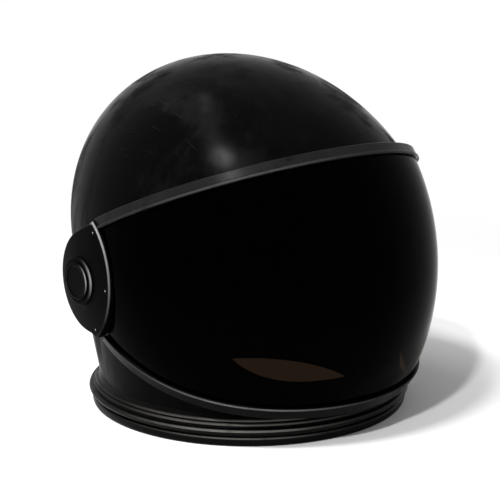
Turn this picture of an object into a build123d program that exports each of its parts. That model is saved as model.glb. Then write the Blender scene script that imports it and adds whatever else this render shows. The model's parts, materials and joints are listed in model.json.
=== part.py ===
"""Astronaut helmet: a domed shell on a stepped neck ring, with a framed bubble visor that swings up on
two ear hubs.

The helmet faces -Y and stands on its neck ring, with the origin on the ring's axis at the floor. Left and
right are as seen from in front of it: left is -X. Side-view outlines are drawn in the plane x = 0, where
a sketch's first coordinate is Y and its second is Z.
"""

from build123d import *
from math import acos, atan2, cos, degrees, radians, sin, sqrt
import os

os.makedirs("parts", exist_ok=True)

# Fits and overruns
OVERRUN = 40.0
REACH = 420.0
RUNNING_FIT = 0.05
FACE_GAP = 0.05
BODY_GAP = 0.15
SOFT_GAP = 0.4

# Pivot line of the visor, from ear to ear
PIVOT_Y = 29.3
PIVOT_Z = 136.2

# Dome: a spheroid that leans back
DOME_Y = -4.4
DOME_Z = 159.2
DOME_RADIUS = 165.2
DOME_STRETCH = 38.8
DOME_HALF_LENGTH = DOME_RADIUS + DOME_STRETCH
DOME_TILT = 60.8
SHELL_WALL = 4.0

# Visor bubble: a spheroid that leans back less and stands out from the dome
BUBBLE_Y = -13.0
BUBBLE_Z = 147.3
BUBBLE_RISE = 7.8
BUBBLE_RADIUS = DOME_RADIUS + BUBBLE_RISE
BUBBLE_STRETCH = 36.0
BUBBLE_HALF_LENGTH = BUBBLE_RADIUS + BUBBLE_STRETCH
BUBBLE_TILT = 16.0
LENS_WALL = 2.5

# Front of the shell behind the visor: turned about the pivot line, so the visor clears it at any angle
FRONT_SIDE_ROOM = 16.0
FRONT_ROOM = 11.3
FRONT_HALF_WIDTH = BUBBLE_RADIUS - FRONT_SIDE_ROOM
FRONT_RADIUS = PIVOT_Y - BUBBLE_Y + BUBBLE_RADIUS - FRONT_ROOM

# Brow line: the visor's upper edge in side view
BROW_HEIGHT = 189.0
BROW_SLOPE = 23.0
BROW_BAND_WIDTH = 11.0
BROW_SEAT = 5.5

# Chin line: the visor's lower edge in side view, one arc
CHIN_ARC_Y = -187.4
CHIN_ARC_Z = 445.4
CHIN_ARC_RADIUS = 407.4
CHIN_BAND_WIDTH = 12.0
CHIN_SEAT = 6.0

# Band section
BAND_FACE = 2.2
BEAD_RISE = 1.2
BEAD_WIDTH = 2.8
BROW_LEDGE_DEPTH = 3.7
CHIN_LEDGE_DEPTH = 5.0
LEDGE_THICKNESS = 2.2
LENS_UNDER_BAND = 8.0
BROW_BAND_END_Y = 16.0
CHIN_BAND_END_Y = 8.0

# Ear plate outline: a front arc, a rear arc and the two straight edges between them
EAR_FRONT_ARC_FORWARD = 18.3
EAR_FRONT_ARC_UP = 2.0
EAR_FRONT_RADIUS = 66.0
EAR_TOP_ANGLE = 57.0
EAR_BOTTOM_ANGLE = -52.0
EAR_REAR_ARC_BACK = 10.0
EAR_REAR_RADIUS = 48.0
EAR_WALL = 2.5
EAR_RIM_SINK = 6.8
EAR_RIM_X = BUBBLE_RADIUS - EAR_RIM_SINK
EAR_LIP_RISE = 1.3
EAR_LIP_WIDTH = 3.4
LENS_UNDER_EAR = 14.0

# Ear face: a shallow round dome over the plate
EAR_FACE_Y = 16.0
EAR_FACE_Z = 138.0
EAR_FACE_RISE = 3.9
EAR_FACE_X = BUBBLE_RADIUS + EAR_FACE_RISE
EAR_FACE_CURVE = 250.0
EAR_FACE_HALF_HEIGHT = 270.0

# Ear plate screws, on an arc inside the front lip
EAR_SCREW_ARC = 59.0
EAR_SCREW_ANGLES = (50.0, -4.0, -49.0)
EAR_SCREW_RADIUS = 1.5
EAR_SCREW_HEAD_RADIUS = 2.5
EAR_SCREW_HEAD_HEIGHT = 1.5
EAR_SCREW_HEAD_TAPER = 15.0
EAR_SCREW_SINK = 0.7
EAR_NUT_FLATS = 5.5
EAR_NUT_HEIGHT = 1.6

# Hub stack, as distances from the middle plane along the pivot line
POD_FACE_DEPTH = 11.0
POD_FACE_X = EAR_FACE_X - POD_FACE_DEPTH
POD_RADIUS = 33.0
POD_EDGE = 0.6
SPIGOT_RADIUS = 12.0
SPIGOT_DEPTH = 14.2
SPIGOT_END_X = DOME_RADIUS - SPIGOT_DEPTH
BOLT_RADIUS = 4.0
BUSH_RADIUS = 7.95
FRICTION_WASHER_RADIUS = 18.0
FRICTION_WASHER_THICKNESS = 1.0
PAD_RADIUS = 24.0
PAD_FACE_RISE = 0.1
PAD_FACE_X = EAR_FACE_X + PAD_FACE_RISE
RETAINER_RADIUS = 13.9
RETAINER_THICKNESS = 0.8
BOLT_HEAD_RADIUS = 7.0
BOLT_HEAD_HEIGHT = 1.6
CAP_RADIUS = 22.5
CAP_STEP_RADIUS = 17.3
CAP_BASE_HEIGHT = 1.9
CAP_HEIGHT = 4.0
CAP_ROOF = 1.2
CAP_EDGE = 1.0
NUT_FLATS = 13.0
NUT_HEIGHT = 6.5
INNER_WASHER_RADIUS = 11.0
INNER_WASHER_THICKNESS = 1.6
BOLT_TAIL = 2.5

# Recess round the pod that stays at dome level
POD_ISLAND_RADIUS = 36.0

# Neck and its rings
NECK_HOLE_RADIUS = 113.0
NECK_Z = 28.0
NECK_RADIUS = 147.5
FLOOR_THICKNESS = 4.0
SKIRT_MIDDLE_Z = 62.0
SKIRT_MIDDLE_HALF_WIDTH = 150.5
SKIRT_MIDDLE_HALF_DEPTH = 163.0
SKIRT_TOP_Z = 140.0
SKIRT_STEP = 0.3
BASE_RING_RISE = 8.0
BASE_RING_RADIUS = NECK_RADIUS + BASE_RING_RISE
BASE_RING_HEIGHT = 8.2
BASE_RING_EDGE = 2.6
GASKET_THICKNESS = 1.4
GASKET_INSET = 4.0
GASKET_RADIUS = BASE_RING_RADIUS - GASKET_INSET
GASKET_BORE = NECK_HOLE_RADIUS + GASKET_INSET
NECK_RING_RISE = 6.5
NECK_RING_RADIUS = NECK_RADIUS + NECK_RING_RISE
NECK_RING_SHOULDER = 17.4
MAIN_BEAD_RISE = 4.8
MAIN_BEAD_RADIUS = NECK_RING_RADIUS + MAIN_BEAD_RISE
MAIN_BEAD_Z = 14.0
MAIN_BEAD_HEIGHT = 5.6
MAIN_BEAD_DEPTH = 8.0
MAIN_BEAD_EDGE = 2.3
RIDGE_RADIUS = 1.1
RIDGE_COUNT = 2
RIDGE_FIRST_Z = 19.4
RIDGE_STEP = 3.2
TRIM_WALL = 2.7
TRIM_LIP = 6.0
TRIM_LIP_THICKNESS = 1.6
RING_SCREW_COUNT = 8
RING_SCREW_INSET = 19.0
RING_SCREW_CIRCLE = NECK_HOLE_RADIUS + RING_SCREW_INSET
RING_SCREW_RADIUS = 2.5
RING_SCREW_HEAD_RADIUS = 5.0
RING_SCREW_HEAD_HEIGHT = 2.6
RING_SCREW_SINK = 1.0
RING_SCREW_FIRST_ANGLE = 22.5

# Face opening of the shell, in side view: bottom edge, slanting rear edge, top edge along the brow
FACE_BOTTOM_Z = 54.0
FACE_CORNER_Y = -113.0
FACE_TOP_Y = -46.0
FACE_TOP_DROP = 22.0
FACE_LOWER_ROUND = 50.0
FACE_UPPER_ROUND = 28.0
EDGING_WALL = 1.4
EDGING_COVER = 5.0

# Brow seal under the recess edge
BROW_SEAL_HEIGHT = 6.0
BROW_SEAL_END_Y = -20.0

# Pads
PAD_THICKNESS = 16.0
CROWN_PAD_RADIUS = 62.0
CROWN_PAD_Y = 26.0
BROW_PAD_THICKNESS = 11.0
BROW_PAD_HEIGHT = 19.0
BROW_PAD_DROP = 1.0
BROW_PAD_HALF_WIDTH = 92.0
REAR_PAD_HALF_WIDTH = 62.0
REAR_PAD_Z = 135.0
REAR_PAD_HEIGHT = 84.0
SIDE_PAD_Y = 96.0
SIDE_PAD_WIDTH = 58.0
SIDE_PAD_Z = 140.0
SIDE_PAD_HEIGHT = 82.0
PAD_ROUND = 14.0

SIDE_VIEW = Plane.YZ


def spheroid(y, z, radius, half_length, tilt):
    """A spheroid turned about an axis in the side plane that leans back from upright by tilt."""
    lean = Plane(
        origin=(0, y, z),
        x_dir=(0, cos(radians(tilt)), -sin(radians(tilt))),
        z_dir=(1, 0, 0),
    )
    with BuildPart() as form:
        with BuildSketch(lean):
            Ellipse(radius, half_length)
            with Locations((-REACH, 0)):
                Rectangle(2 * REACH, 2 * REACH, mode=Mode.SUBTRACT)
        revolve(axis=Axis((0, y, z), lean.y_dir))
    return form.part


def dome(inset=0):
    """The dome's spheroid, drawn in by inset."""
    return spheroid(DOME_Y, DOME_Z, DOME_RADIUS - inset, DOME_HALF_LENGTH - inset, DOME_TILT)


def bubble(rise=0):
    """The visor bubble's spheroid, raised by rise from the lens's outer face."""
    return spheroid(BUBBLE_Y, BUBBLE_Z, BUBBLE_RADIUS + rise, BUBBLE_HALF_LENGTH + rise, BUBBLE_TILT)


def front(inset=0):
    """The turned form behind the visor, about the pivot line."""
    with BuildPart() as form:
        with BuildSketch(Plane.XY.offset(PIVOT_Z)):
            with Locations((0, PIVOT_Y)):
                Ellipse(FRONT_HALF_WIDTH - inset, FRONT_RADIUS - inset)
            with Locations((0, PIVOT_Y - REACH)):
                Rectangle(2 * REACH, 2 * REACH, mode=Mode.SUBTRACT)
        revolve(axis=Axis((0, PIVOT_Y, PIVOT_Z), (1, 0, 0)))
    return form.part


def ear_dome(rise=0):
    """The shallow round face of the right-hand ear, raised by rise."""
    middle_x = EAR_FACE_X - EAR_FACE_CURVE
    with BuildPart() as form:
        with BuildSketch(Plane.XZ.offset(-EAR_FACE_Y)):
            with Locations((middle_x, EAR_FACE_Z)):
                Ellipse(EAR_FACE_CURVE + rise, EAR_FACE_HALF_HEIGHT + rise)
            with Locations((middle_x + REACH, EAR_FACE_Z)):
                Rectangle(2 * REACH, 2 * REACH, mode=Mode.SUBTRACT)
        revolve(axis=Axis((middle_x, EAR_FACE_Y, EAR_FACE_Z), (0, 0, 1)))
    return form.part


def spheroid_x(y, z, centre_y, centre_z, radius, half_length, tilt):
    """Half the width of a leaning spheroid at a place in the side plane."""
    along = (y - centre_y) * sin(radians(tilt)) + (z - centre_z) * cos(radians(tilt))
    across = (y - centre_y) * cos(radians(tilt)) - (z - centre_z) * sin(radians(tilt))
    return radius * sqrt(1 - (along / half_length) ** 2 - (across / radius) ** 2)


def bubble_x(y, z, rise=0):
    """Half the width of the visor bubble at a place in the side plane."""
    radius = BUBBLE_RADIUS + rise
    return spheroid_x(y, z, BUBBLE_Y, BUBBLE_Z, radius, BUBBLE_HALF_LENGTH + rise, BUBBLE_TILT)


def ear_face_x(y, z):
    """Distance of the ear face from the middle plane."""
    level_radius = EAR_FACE_CURVE * sqrt(1 - ((z - EAR_FACE_Z) / EAR_FACE_HALF_HEIGHT) ** 2)
    return EAR_FACE_X - EAR_FACE_CURVE + sqrt(level_radius**2 - (y - EAR_FACE_Y) ** 2)


def below_brow(rise):
    """A sketch face below the brow line raised by rise, in side view."""
    with BuildSketch(SIDE_VIEW) as area:
        with Locations(Location((0, BROW_HEIGHT), -BROW_SLOPE)):
            with Locations((0, rise - REACH)):
                Rectangle(2 * REACH, 2 * REACH)
    return area.sketch_local


def above_chin(drop):
    """A sketch face above the chin arc lowered by drop, in side view."""
    with BuildSketch(SIDE_VIEW) as area:
        with Locations((CHIN_ARC_Y, CHIN_ARC_Z)):
            Circle(CHIN_ARC_RADIUS + drop)
    return area.sketch_local


def forward_of(y):
    """A sketch face on the -Y side of y, in side view."""
    with BuildSketch(SIDE_VIEW) as area:
        with Locations((y - REACH, PIVOT_Z)):
            Rectangle(2 * REACH, 4 * REACH)
    return area.sketch_local


def dome_section(z, inset):
    """Middle, half width and half depth of the dome's level section at a height."""
    radius = DOME_RADIUS - inset
    length = DOME_HALF_LENGTH - inset
    half_height = sqrt((length * cos(radians(DOME_TILT))) ** 2 + (radius * sin(radians(DOME_TILT))) ** 2)
    share = sqrt(1 - ((z - DOME_Z) / half_height) ** 2)
    lean = (length**2 - radius**2) * sin(radians(DOME_TILT)) * cos(radians(DOME_TILT)) / half_height**2
    return DOME_Y + (z - DOME_Z) * lean, radius * share, length * radius / half_height * share


def skirt(inset=0):
    """The lower shell, from the neck circle up to the dome's own section."""
    top_y, top_width, top_depth = dome_section(SKIRT_TOP_Z, inset)
    with BuildPart() as form:
        with BuildSketch(Plane.XY.offset(NECK_Z)):
            Circle(NECK_RADIUS - inset)
        with BuildSketch(Plane.XY.offset(SKIRT_MIDDLE_Z)):
            Ellipse(SKIRT_MIDDLE_HALF_WIDTH - inset, SKIRT_MIDDLE_HALF_DEPTH - inset)
        with BuildSketch(Plane.XY.offset(SKIRT_TOP_Z)):
            with Locations((0, top_y)):
                Ellipse(top_width - SKIRT_STEP, top_depth - SKIRT_STEP)
        loft()
    return form.part


def visor_recess(inset=0):
    """What the shell gives up to the visor: all outside the turned front, inside the visor's outline."""
    with BuildPart() as form:
        with BuildSketch(SIDE_VIEW):
            add(below_brow(BROW_SEAT + inset))
            add(above_chin(CHIN_SEAT + inset), mode=Mode.INTERSECT)
            add(forward_of(PIVOT_Y), mode=Mode.INTERSECT)
            with Locations((PIVOT_Y, PIVOT_Z)):
                Circle(POD_ISLAND_RADIUS - inset, mode=Mode.SUBTRACT)
        extrude(amount=REACH, both=True)
        add(front(inset), mode=Mode.SUBTRACT)
    return form.part


def shell_form(inset, bottom):
    """The shell's whole outer form drawn in by inset, cut flat at bottom."""
    with BuildPart() as form:
        add(dome(inset))
        with Locations((0, 0, SKIRT_TOP_Z - REACH)):
            Box(2 * REACH, 2 * REACH, 2 * REACH, mode=Mode.SUBTRACT)
        add(skirt(inset))
        if bottom > NECK_Z:
            with Locations((0, 0, bottom - REACH)):
                Box(2 * REACH, 2 * REACH, 2 * REACH, mode=Mode.SUBTRACT)
        add(visor_recess(inset), mode=Mode.SUBTRACT)
    return form.part


def face_outline(grow=0):
    """The face opening in side view, grown by grow."""
    rise = BROW_HEIGHT - (FACE_TOP_DROP / cos(radians(BROW_SLOPE)))
    slope = sin(radians(BROW_SLOPE)) / cos(radians(BROW_SLOPE))
    top_z = rise - slope * FACE_TOP_Y
    ahead_y = -REACH
    with BuildSketch(SIDE_VIEW) as area:
        with BuildLine():
            Polyline(
                (ahead_y, FACE_BOTTOM_Z),
                (FACE_CORNER_Y, FACE_BOTTOM_Z),
                (FACE_TOP_Y, top_z),
                (ahead_y, rise - slope * ahead_y),
                close=True,
            )
        make_face()
        corners = area.vertices().group_by(Axis.X)[-1]
        fillet(corners, FACE_UPPER_ROUND)
        lower = area.vertices().sort_by_distance((FACE_CORNER_Y, FACE_BOTTOM_Z))[0]
        fillet(lower, FACE_LOWER_ROUND)
        if grow:
            offset(amount=grow, kind=Kind.TANGENT)
    return area.sketch_local


def ring_screw_places():
    """Polar places of the ring screws about the ring's axis."""
    return PolarLocations(
        RING_SCREW_CIRCLE, RING_SCREW_COUNT, start_angle=RING_SCREW_FIRST_ANGLE, rotate=False
    )


def write(part, name):
    """Label a finished piece and write it under its own name."""
    part.label = name
    export_step(part, f"parts/{name}.step")


def write_pair(part, name):
    """Write a right-hand piece, and its mirror image as the left-hand one."""
    write(mirror(part, about=Plane.YZ), f"{name}_left")
    write(part, f"{name}_right")


outer_form = shell_form(0, NECK_Z)
inner_form = shell_form(SHELL_WALL, NECK_Z + FLOOR_THICKNESS)

with BuildPart() as shell:
    add(outer_form)
    add(inner_form, mode=Mode.SUBTRACT)
    with Locations((0, 0, NECK_Z)):
        Cylinder(NECK_HOLE_RADIUS, 2 * OVERRUN, mode=Mode.SUBTRACT)
    with BuildSketch(SIDE_VIEW):
        add(face_outline())
    extrude(amount=REACH, both=True, mode=Mode.SUBTRACT)
    with Locations(Location((0, PIVOT_Y, PIVOT_Z), (0, 90, 0))):
        Cylinder(SPIGOT_RADIUS + FACE_GAP, 2 * REACH, mode=Mode.SUBTRACT)
    with BuildSketch(Plane.XY.offset(NECK_Z)):
        with ring_screw_places():
            Circle(RING_SCREW_RADIUS + FACE_GAP)
    extrude(amount=FLOOR_THICKNESS, mode=Mode.SUBTRACT)
write(shell.part, "shell")

# Room for the shell's edge inside the rubber edging
with BuildPart() as edge_space:
    with BuildSketch(SIDE_VIEW):
        add(face_outline(EDGING_COVER + OVERRUN))
        add(face_outline(-FACE_GAP), mode=Mode.SUBTRACT)
    extrude(amount=REACH, both=True)
    add(front(-FACE_GAP), mode=Mode.INTERSECT)
    add(front(SHELL_WALL + FACE_GAP), mode=Mode.SUBTRACT)

# Rubber edging round the face opening: a channel over the shell's edge
with BuildPart() as face_edging:
    with BuildSketch(SIDE_VIEW):
        add(face_outline(EDGING_COVER))
        add(face_outline(-EDGING_WALL - FACE_GAP), mode=Mode.SUBTRACT)
        add(forward_of(-REACH + OVERRUN), mode=Mode.SUBTRACT)
    extrude(amount=REACH, both=True)
    add(front(-EDGING_WALL - FACE_GAP), mode=Mode.INTERSECT)
    add(front(SHELL_WALL + EDGING_WALL + FACE_GAP), mode=Mode.SUBTRACT)
    add(edge_space.part, mode=Mode.SUBTRACT)
write(face_edging.part, "face_opening_trim")

# Neck rings, turned about the upright axis
gasket_bottom_z = BASE_RING_HEIGHT
ring_bottom_z = BASE_RING_HEIGHT + GASKET_THICKNESS

with BuildPart() as base_ring:
    with BuildSketch(Plane.XZ):
        with Locations((NECK_HOLE_RADIUS, 0)):
            Rectangle(
                BASE_RING_RADIUS - NECK_HOLE_RADIUS,
                BASE_RING_HEIGHT,
                align=(Align.MIN, Align.MIN),
            )
    revolve(axis=Axis.Z)
    fillet(base_ring.edges().filter_by(GeomType.CIRCLE).group_by(SortBy.RADIUS)[-1], BASE_RING_EDGE)
    with ring_screw_places():
        Cylinder(RING_SCREW_RADIUS + FACE_GAP, 2 * OVERRUN, mode=Mode.SUBTRACT)
        Cylinder(
            RING_SCREW_HEAD_RADIUS + FACE_GAP,
            RING_SCREW_HEAD_HEIGHT + RING_SCREW_SINK,
            align=(Align.CENTER, Align.CENTER, Align.MIN),
            mode=Mode.SUBTRACT,
        )
write(base_ring.part, "base_ring")

with BuildPart() as ring_gasket:
    with BuildSketch(Plane.XY.offset(gasket_bottom_z)):
        Circle(GASKET_RADIUS)
        Circle(GASKET_BORE, mode=Mode.SUBTRACT)
        with ring_screw_places():
            Circle(RING_SCREW_RADIUS + FACE_GAP, mode=Mode.SUBTRACT)
    extrude(amount=GASKET_THICKNESS)
write(ring_gasket.part, "ring_gasket")

with BuildPart() as neck_ring:
    with BuildSketch(Plane.XZ) as ring_profile:
        with BuildLine():
            Polyline(
                (NECK_HOLE_RADIUS, ring_bottom_z),
                (NECK_RING_RADIUS, ring_bottom_z),
                (NECK_RING_RADIUS, NECK_RING_SHOULDER),
                (NECK_RADIUS, NECK_Z),
                (NECK_HOLE_RADIUS, NECK_Z),
                close=True,
            )
        make_face()
        with Locations((MAIN_BEAD_RADIUS - MAIN_BEAD_DEPTH / 2, MAIN_BEAD_Z)):
            RectangleRounded(MAIN_BEAD_DEPTH, MAIN_BEAD_HEIGHT, MAIN_BEAD_EDGE)
        cone_run = (NECK_RING_RADIUS - NECK_RADIUS) / (NECK_Z - NECK_RING_SHOULDER)
        for ridge in range(RIDGE_COUNT):
            ridge_z = RIDGE_FIRST_Z + ridge * RIDGE_STEP
            ridge_x = NECK_RING_RADIUS - cone_run * (ridge_z - NECK_RING_SHOULDER)
            with Locations((ridge_x, ridge_z)):
                Circle(RIDGE_RADIUS)
    revolve(axis=Axis.Z)
    with BuildSketch(Plane.XY):
        with ring_screw_places():
            Circle(RING_SCREW_RADIUS + FACE_GAP)
    extrude(amount=NECK_Z + OVERRUN, mode=Mode.SUBTRACT)
write(neck_ring.part, "neck_ring")

# Rubber trim of the neck hole: a sleeve with a lip over the shell's floor
floor_top_z = NECK_Z + FLOOR_THICKNESS
with BuildPart() as neck_trim:
    with BuildSketch():
        Circle(NECK_HOLE_RADIUS - FACE_GAP)
        Circle(NECK_HOLE_RADIUS - FACE_GAP - TRIM_WALL, mode=Mode.SUBTRACT)
    extrude(amount=floor_top_z + FACE_GAP + TRIM_LIP_THICKNESS)
    with BuildSketch(Plane.XY.offset(floor_top_z + FACE_GAP)):
        Circle(NECK_HOLE_RADIUS + TRIM_LIP)
        Circle(NECK_HOLE_RADIUS - FACE_GAP - TRIM_WALL, mode=Mode.SUBTRACT)
    extrude(amount=TRIM_LIP_THICKNESS)
write(neck_trim.part, "neck_trim")

# Ring screws: counter-bored from below, up into the shell's floor
with BuildPart() as ring_screws:
    with BuildSketch(Plane.XY.offset(RING_SCREW_SINK)):
        with ring_screw_places():
            Circle(RING_SCREW_HEAD_RADIUS)
    extrude(amount=RING_SCREW_HEAD_HEIGHT)
    with BuildSketch(Plane.XY.offset(RING_SCREW_SINK)):
        with ring_screw_places():
            Circle(RING_SCREW_RADIUS)
    extrude(amount=floor_top_z - RING_SCREW_SINK)
write(ring_screws.part, "ring_screws")

# Brow seal: a soft strip that fills the recess edge up to dome level
with BuildPart() as brow_seal:
    with BuildSketch(SIDE_VIEW):
        add(below_brow(BROW_SEAT - FACE_GAP))
        add(below_brow(BROW_SEAT - BROW_SEAL_HEIGHT), mode=Mode.SUBTRACT)
        add(forward_of(BROW_SEAL_END_Y), mode=Mode.INTERSECT)
    extrude(amount=REACH, both=True)
    add(dome(), mode=Mode.INTERSECT)
    add(front(-FACE_GAP), mode=Mode.SUBTRACT)
write(brow_seal.part, "brow_seal")

# Hubs, built on the +X side
AXLE = Location((0, PIVOT_Y, PIVOT_Z), (0, 90, 0))


def disc(radius, start_x, end_x, bore=0):
    """A disc or sleeve on the pivot line between two distances from the middle plane."""
    with BuildPart() as form:
        with BuildSketch(SIDE_VIEW.offset(start_x)):
            with Locations((PIVOT_Y, PIVOT_Z)):
                Circle(radius)
                if bore:
                    Circle(bore, mode=Mode.SUBTRACT)
        extrude(amount=end_x - start_x)
    return form.part


bush_end_x = PAD_FACE_X + FACE_GAP
retainer_end_x = bush_end_x + RETAINER_THICKNESS
bolt_head_end_x = retainer_end_x + BOLT_HEAD_HEIGHT
cap_start_x = PAD_FACE_X + BODY_GAP
nut_end_x = SPIGOT_END_X - INNER_WASHER_THICKNESS
nut_start_x = nut_end_x - NUT_HEIGHT
bolt_bore = BOLT_RADIUS + FACE_GAP

with BuildPart() as hub_pod:
    add(disc(POD_RADIUS, SPIGOT_END_X, POD_FACE_X, bolt_bore))
    add(outer_form, mode=Mode.SUBTRACT)
    add(disc(SPIGOT_RADIUS, SPIGOT_END_X, POD_FACE_X, bolt_bore))
    fillet(
        hub_pod.edges().filter_by(GeomType.CIRCLE).filter_by_position(
            Axis.X, POD_FACE_X - FACE_GAP, POD_FACE_X + FACE_GAP
        ).group_by(SortBy.RADIUS)[-1],
        POD_EDGE,
    )
write_pair(hub_pod.part, "hub_pod")

write_pair(
    disc(FRICTION_WASHER_RADIUS, POD_FACE_X, POD_FACE_X + FRICTION_WASHER_THICKNESS, BUSH_RADIUS + FACE_GAP),
    "friction_washer",
)
write_pair(disc(BUSH_RADIUS, POD_FACE_X, bush_end_x, bolt_bore), "hub_bush")
write_pair(disc(RETAINER_RADIUS, bush_end_x, retainer_end_x, bolt_bore), "retaining_washer")
write_pair(disc(INNER_WASHER_RADIUS, nut_end_x, SPIGOT_END_X, bolt_bore), "inner_washer")

with BuildPart() as pivot_bolt:
    add(disc(BOLT_RADIUS, nut_start_x - BOLT_TAIL, retainer_end_x))
    add(disc(BOLT_HEAD_RADIUS, retainer_end_x, bolt_head_end_x))
    fillet(pivot_bolt.edges().filter_by(GeomType.CIRCLE).group_by(Axis.X)[-1], CAP_EDGE)
write_pair(pivot_bolt.part, "pivot_bolt")

with BuildPart() as pivot_nut:
    with BuildSketch(SIDE_VIEW.offset(nut_start_x)):
        with Locations((PIVOT_Y, PIVOT_Z)):
            RegularPolygon(NUT_FLATS / 2, 6, major_radius=False)
            Circle(bolt_bore, mode=Mode.SUBTRACT)
    extrude(amount=NUT_HEIGHT)
write_pair(pivot_nut.part, "pivot_nut")

with BuildPart() as hub_cap:
    add(disc(CAP_RADIUS, cap_start_x, cap_start_x + CAP_BASE_HEIGHT))
    fillet(hub_cap.edges().filter_by(GeomType.CIRCLE).group_by(Axis.X)[-1], CAP_EDGE)
    add(disc(CAP_STEP_RADIUS, cap_start_x, cap_start_x + CAP_HEIGHT))
    fillet(hub_cap.edges().filter_by(GeomType.CIRCLE).group_by(Axis.X)[-1], CAP_EDGE)
    add(
        disc(RETAINER_RADIUS + FACE_GAP, cap_start_x, cap_start_x + CAP_HEIGHT - CAP_ROOF),
        mode=Mode.SUBTRACT,
    )
write_pair(hub_cap.part, "hub_cap")

# Ear plate outline in side view
arc_y = PIVOT_Y + EAR_FRONT_ARC_FORWARD
arc_z = PIVOT_Z + EAR_FRONT_ARC_UP
rear_y = PIVOT_Y - EAR_REAR_ARC_BACK


def on_front_arc(radius, angle):
    """A place on an arc about the front arc's centre; the angle rises from straight ahead."""
    return (arc_y - radius * cos(radians(angle)), arc_z + radius * sin(radians(angle)))


def on_rear_arc(angle):
    """A place on the rear arc; the angle rises from straight back."""
    return (
        rear_y + EAR_REAR_RADIUS * cos(radians(angle)),
        PIVOT_Z + EAR_REAR_RADIUS * sin(radians(angle)),
    )


def rear_tangent(corner, side):
    """Where a line from a corner meets the rear arc without a kink: 1 for the top one, -1 for the bottom."""
    reach_y = corner[0] - rear_y
    reach_z = corner[1] - PIVOT_Z
    spread = acos(EAR_REAR_RADIUS / sqrt(reach_y**2 + reach_z**2))
    return degrees(atan2(reach_z, reach_y) - side * spread)


top_tangent = rear_tangent(on_front_arc(EAR_FRONT_RADIUS, EAR_TOP_ANGLE), 1)
bottom_tangent = rear_tangent(on_front_arc(EAR_FRONT_RADIUS, EAR_BOTTOM_ANGLE), -1)


def ear_outline(inset=0):
    """The ear plate's outline in side view, drawn in by inset."""
    middle = (EAR_TOP_ANGLE + EAR_BOTTOM_ANGLE) / 2
    with BuildSketch(SIDE_VIEW) as area:
        with BuildLine():
            ThreePointArc(
                on_front_arc(EAR_FRONT_RADIUS, EAR_TOP_ANGLE),
                on_front_arc(EAR_FRONT_RADIUS, middle),
                on_front_arc(EAR_FRONT_RADIUS, EAR_BOTTOM_ANGLE),
            )
            Line(on_front_arc(EAR_FRONT_RADIUS, EAR_BOTTOM_ANGLE), on_rear_arc(bottom_tangent))
            ThreePointArc(on_rear_arc(bottom_tangent), on_rear_arc(0), on_rear_arc(top_tangent))
            Line(on_rear_arc(top_tangent), on_front_arc(EAR_FRONT_RADIUS, EAR_TOP_ANGLE))
        make_face()
        if inset:
            offset(amount=-inset, kind=Kind.INTERSECTION)
    return area.sketch_local


def lens_outline(grow=0):
    """The lens in side view, reaching under both bands and the ear plate, grown by grow."""
    with BuildSketch(SIDE_VIEW) as area:
        add(below_brow(LENS_UNDER_BAND + grow))
        add(above_chin(LENS_UNDER_BAND + grow), mode=Mode.INTERSECT)
        add(forward_of(PIVOT_Y), mode=Mode.INTERSECT)
        with Locations((arc_y, arc_z)):
            Circle(EAR_FRONT_RADIUS - LENS_UNDER_EAR - grow, mode=Mode.SUBTRACT)
    return area.sketch_local


ear_screw_places = [on_front_arc(EAR_SCREW_ARC, angle) for angle in EAR_SCREW_ANGLES]

with BuildPart() as visor_lens:
    with BuildSketch(SIDE_VIEW):
        add(lens_outline())
    extrude(amount=REACH, both=True)
    add(bubble(), mode=Mode.INTERSECT)
    add(bubble(-LENS_WALL), mode=Mode.SUBTRACT)
    with BuildSketch(SIDE_VIEW):
        with Locations(*ear_screw_places):
            Circle(EAR_SCREW_RADIUS + FACE_GAP)
    extrude(amount=REACH, both=True, mode=Mode.SUBTRACT)
write(visor_lens.part, "visor_lens")

with BuildPart() as ear_hollow:
    with BuildSketch(SIDE_VIEW.offset(EAR_RIM_X - OVERRUN)):
        add(ear_outline(EAR_WALL))
    extrude(amount=2 * OVERRUN)
    add(ear_dome(-EAR_WALL), mode=Mode.INTERSECT)

with BuildPart() as above_ear_face:
    with BuildSketch(SIDE_VIEW.offset(EAR_RIM_X)):
        with Locations((arc_y, arc_z)):
            Circle(EAR_FRONT_RADIUS - EAR_LIP_WIDTH)
    extrude(amount=OVERRUN)
    add(ear_dome(), mode=Mode.SUBTRACT)

with BuildPart() as lens_space:
    with BuildSketch(SIDE_VIEW):
        add(lens_outline(RUNNING_FIT))
    extrude(amount=REACH, both=True)
    add(bubble(FACE_GAP), mode=Mode.INTERSECT)

# Ear plate: a hollow cap with a raised lip along its front arc and a thick pad under the hub cap
pad_start_x = POD_FACE_X + FRICTION_WASHER_THICKNESS + FACE_GAP
with BuildPart() as ear_blank:
    with BuildSketch(SIDE_VIEW.offset(EAR_RIM_X)):
        add(ear_outline())
    extrude(amount=OVERRUN)
    add(ear_dome(EAR_LIP_RISE), mode=Mode.INTERSECT)
    add(ear_hollow.part, mode=Mode.SUBTRACT)
    add(above_ear_face.part, mode=Mode.SUBTRACT)
    add(disc(PAD_RADIUS, pad_start_x, PAD_FACE_X))
    add(disc(BUSH_RADIUS + RUNNING_FIT, pad_start_x - OVERRUN, PAD_FACE_X + OVERRUN), mode=Mode.SUBTRACT)
    for place in ear_screw_places:
        seat_x = ear_face_x(*place) - EAR_SCREW_SINK
        with BuildSketch(SIDE_VIEW.offset(seat_x)):
            with Locations(place):
                Circle(EAR_SCREW_HEAD_RADIUS + FACE_GAP)
        extrude(amount=OVERRUN, mode=Mode.SUBTRACT)
        with BuildSketch(SIDE_VIEW.offset(EAR_RIM_X - OVERRUN)):
            with Locations(place):
                Circle(EAR_SCREW_RADIUS + FACE_GAP)
        extrude(amount=2 * OVERRUN, mode=Mode.SUBTRACT)

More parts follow.
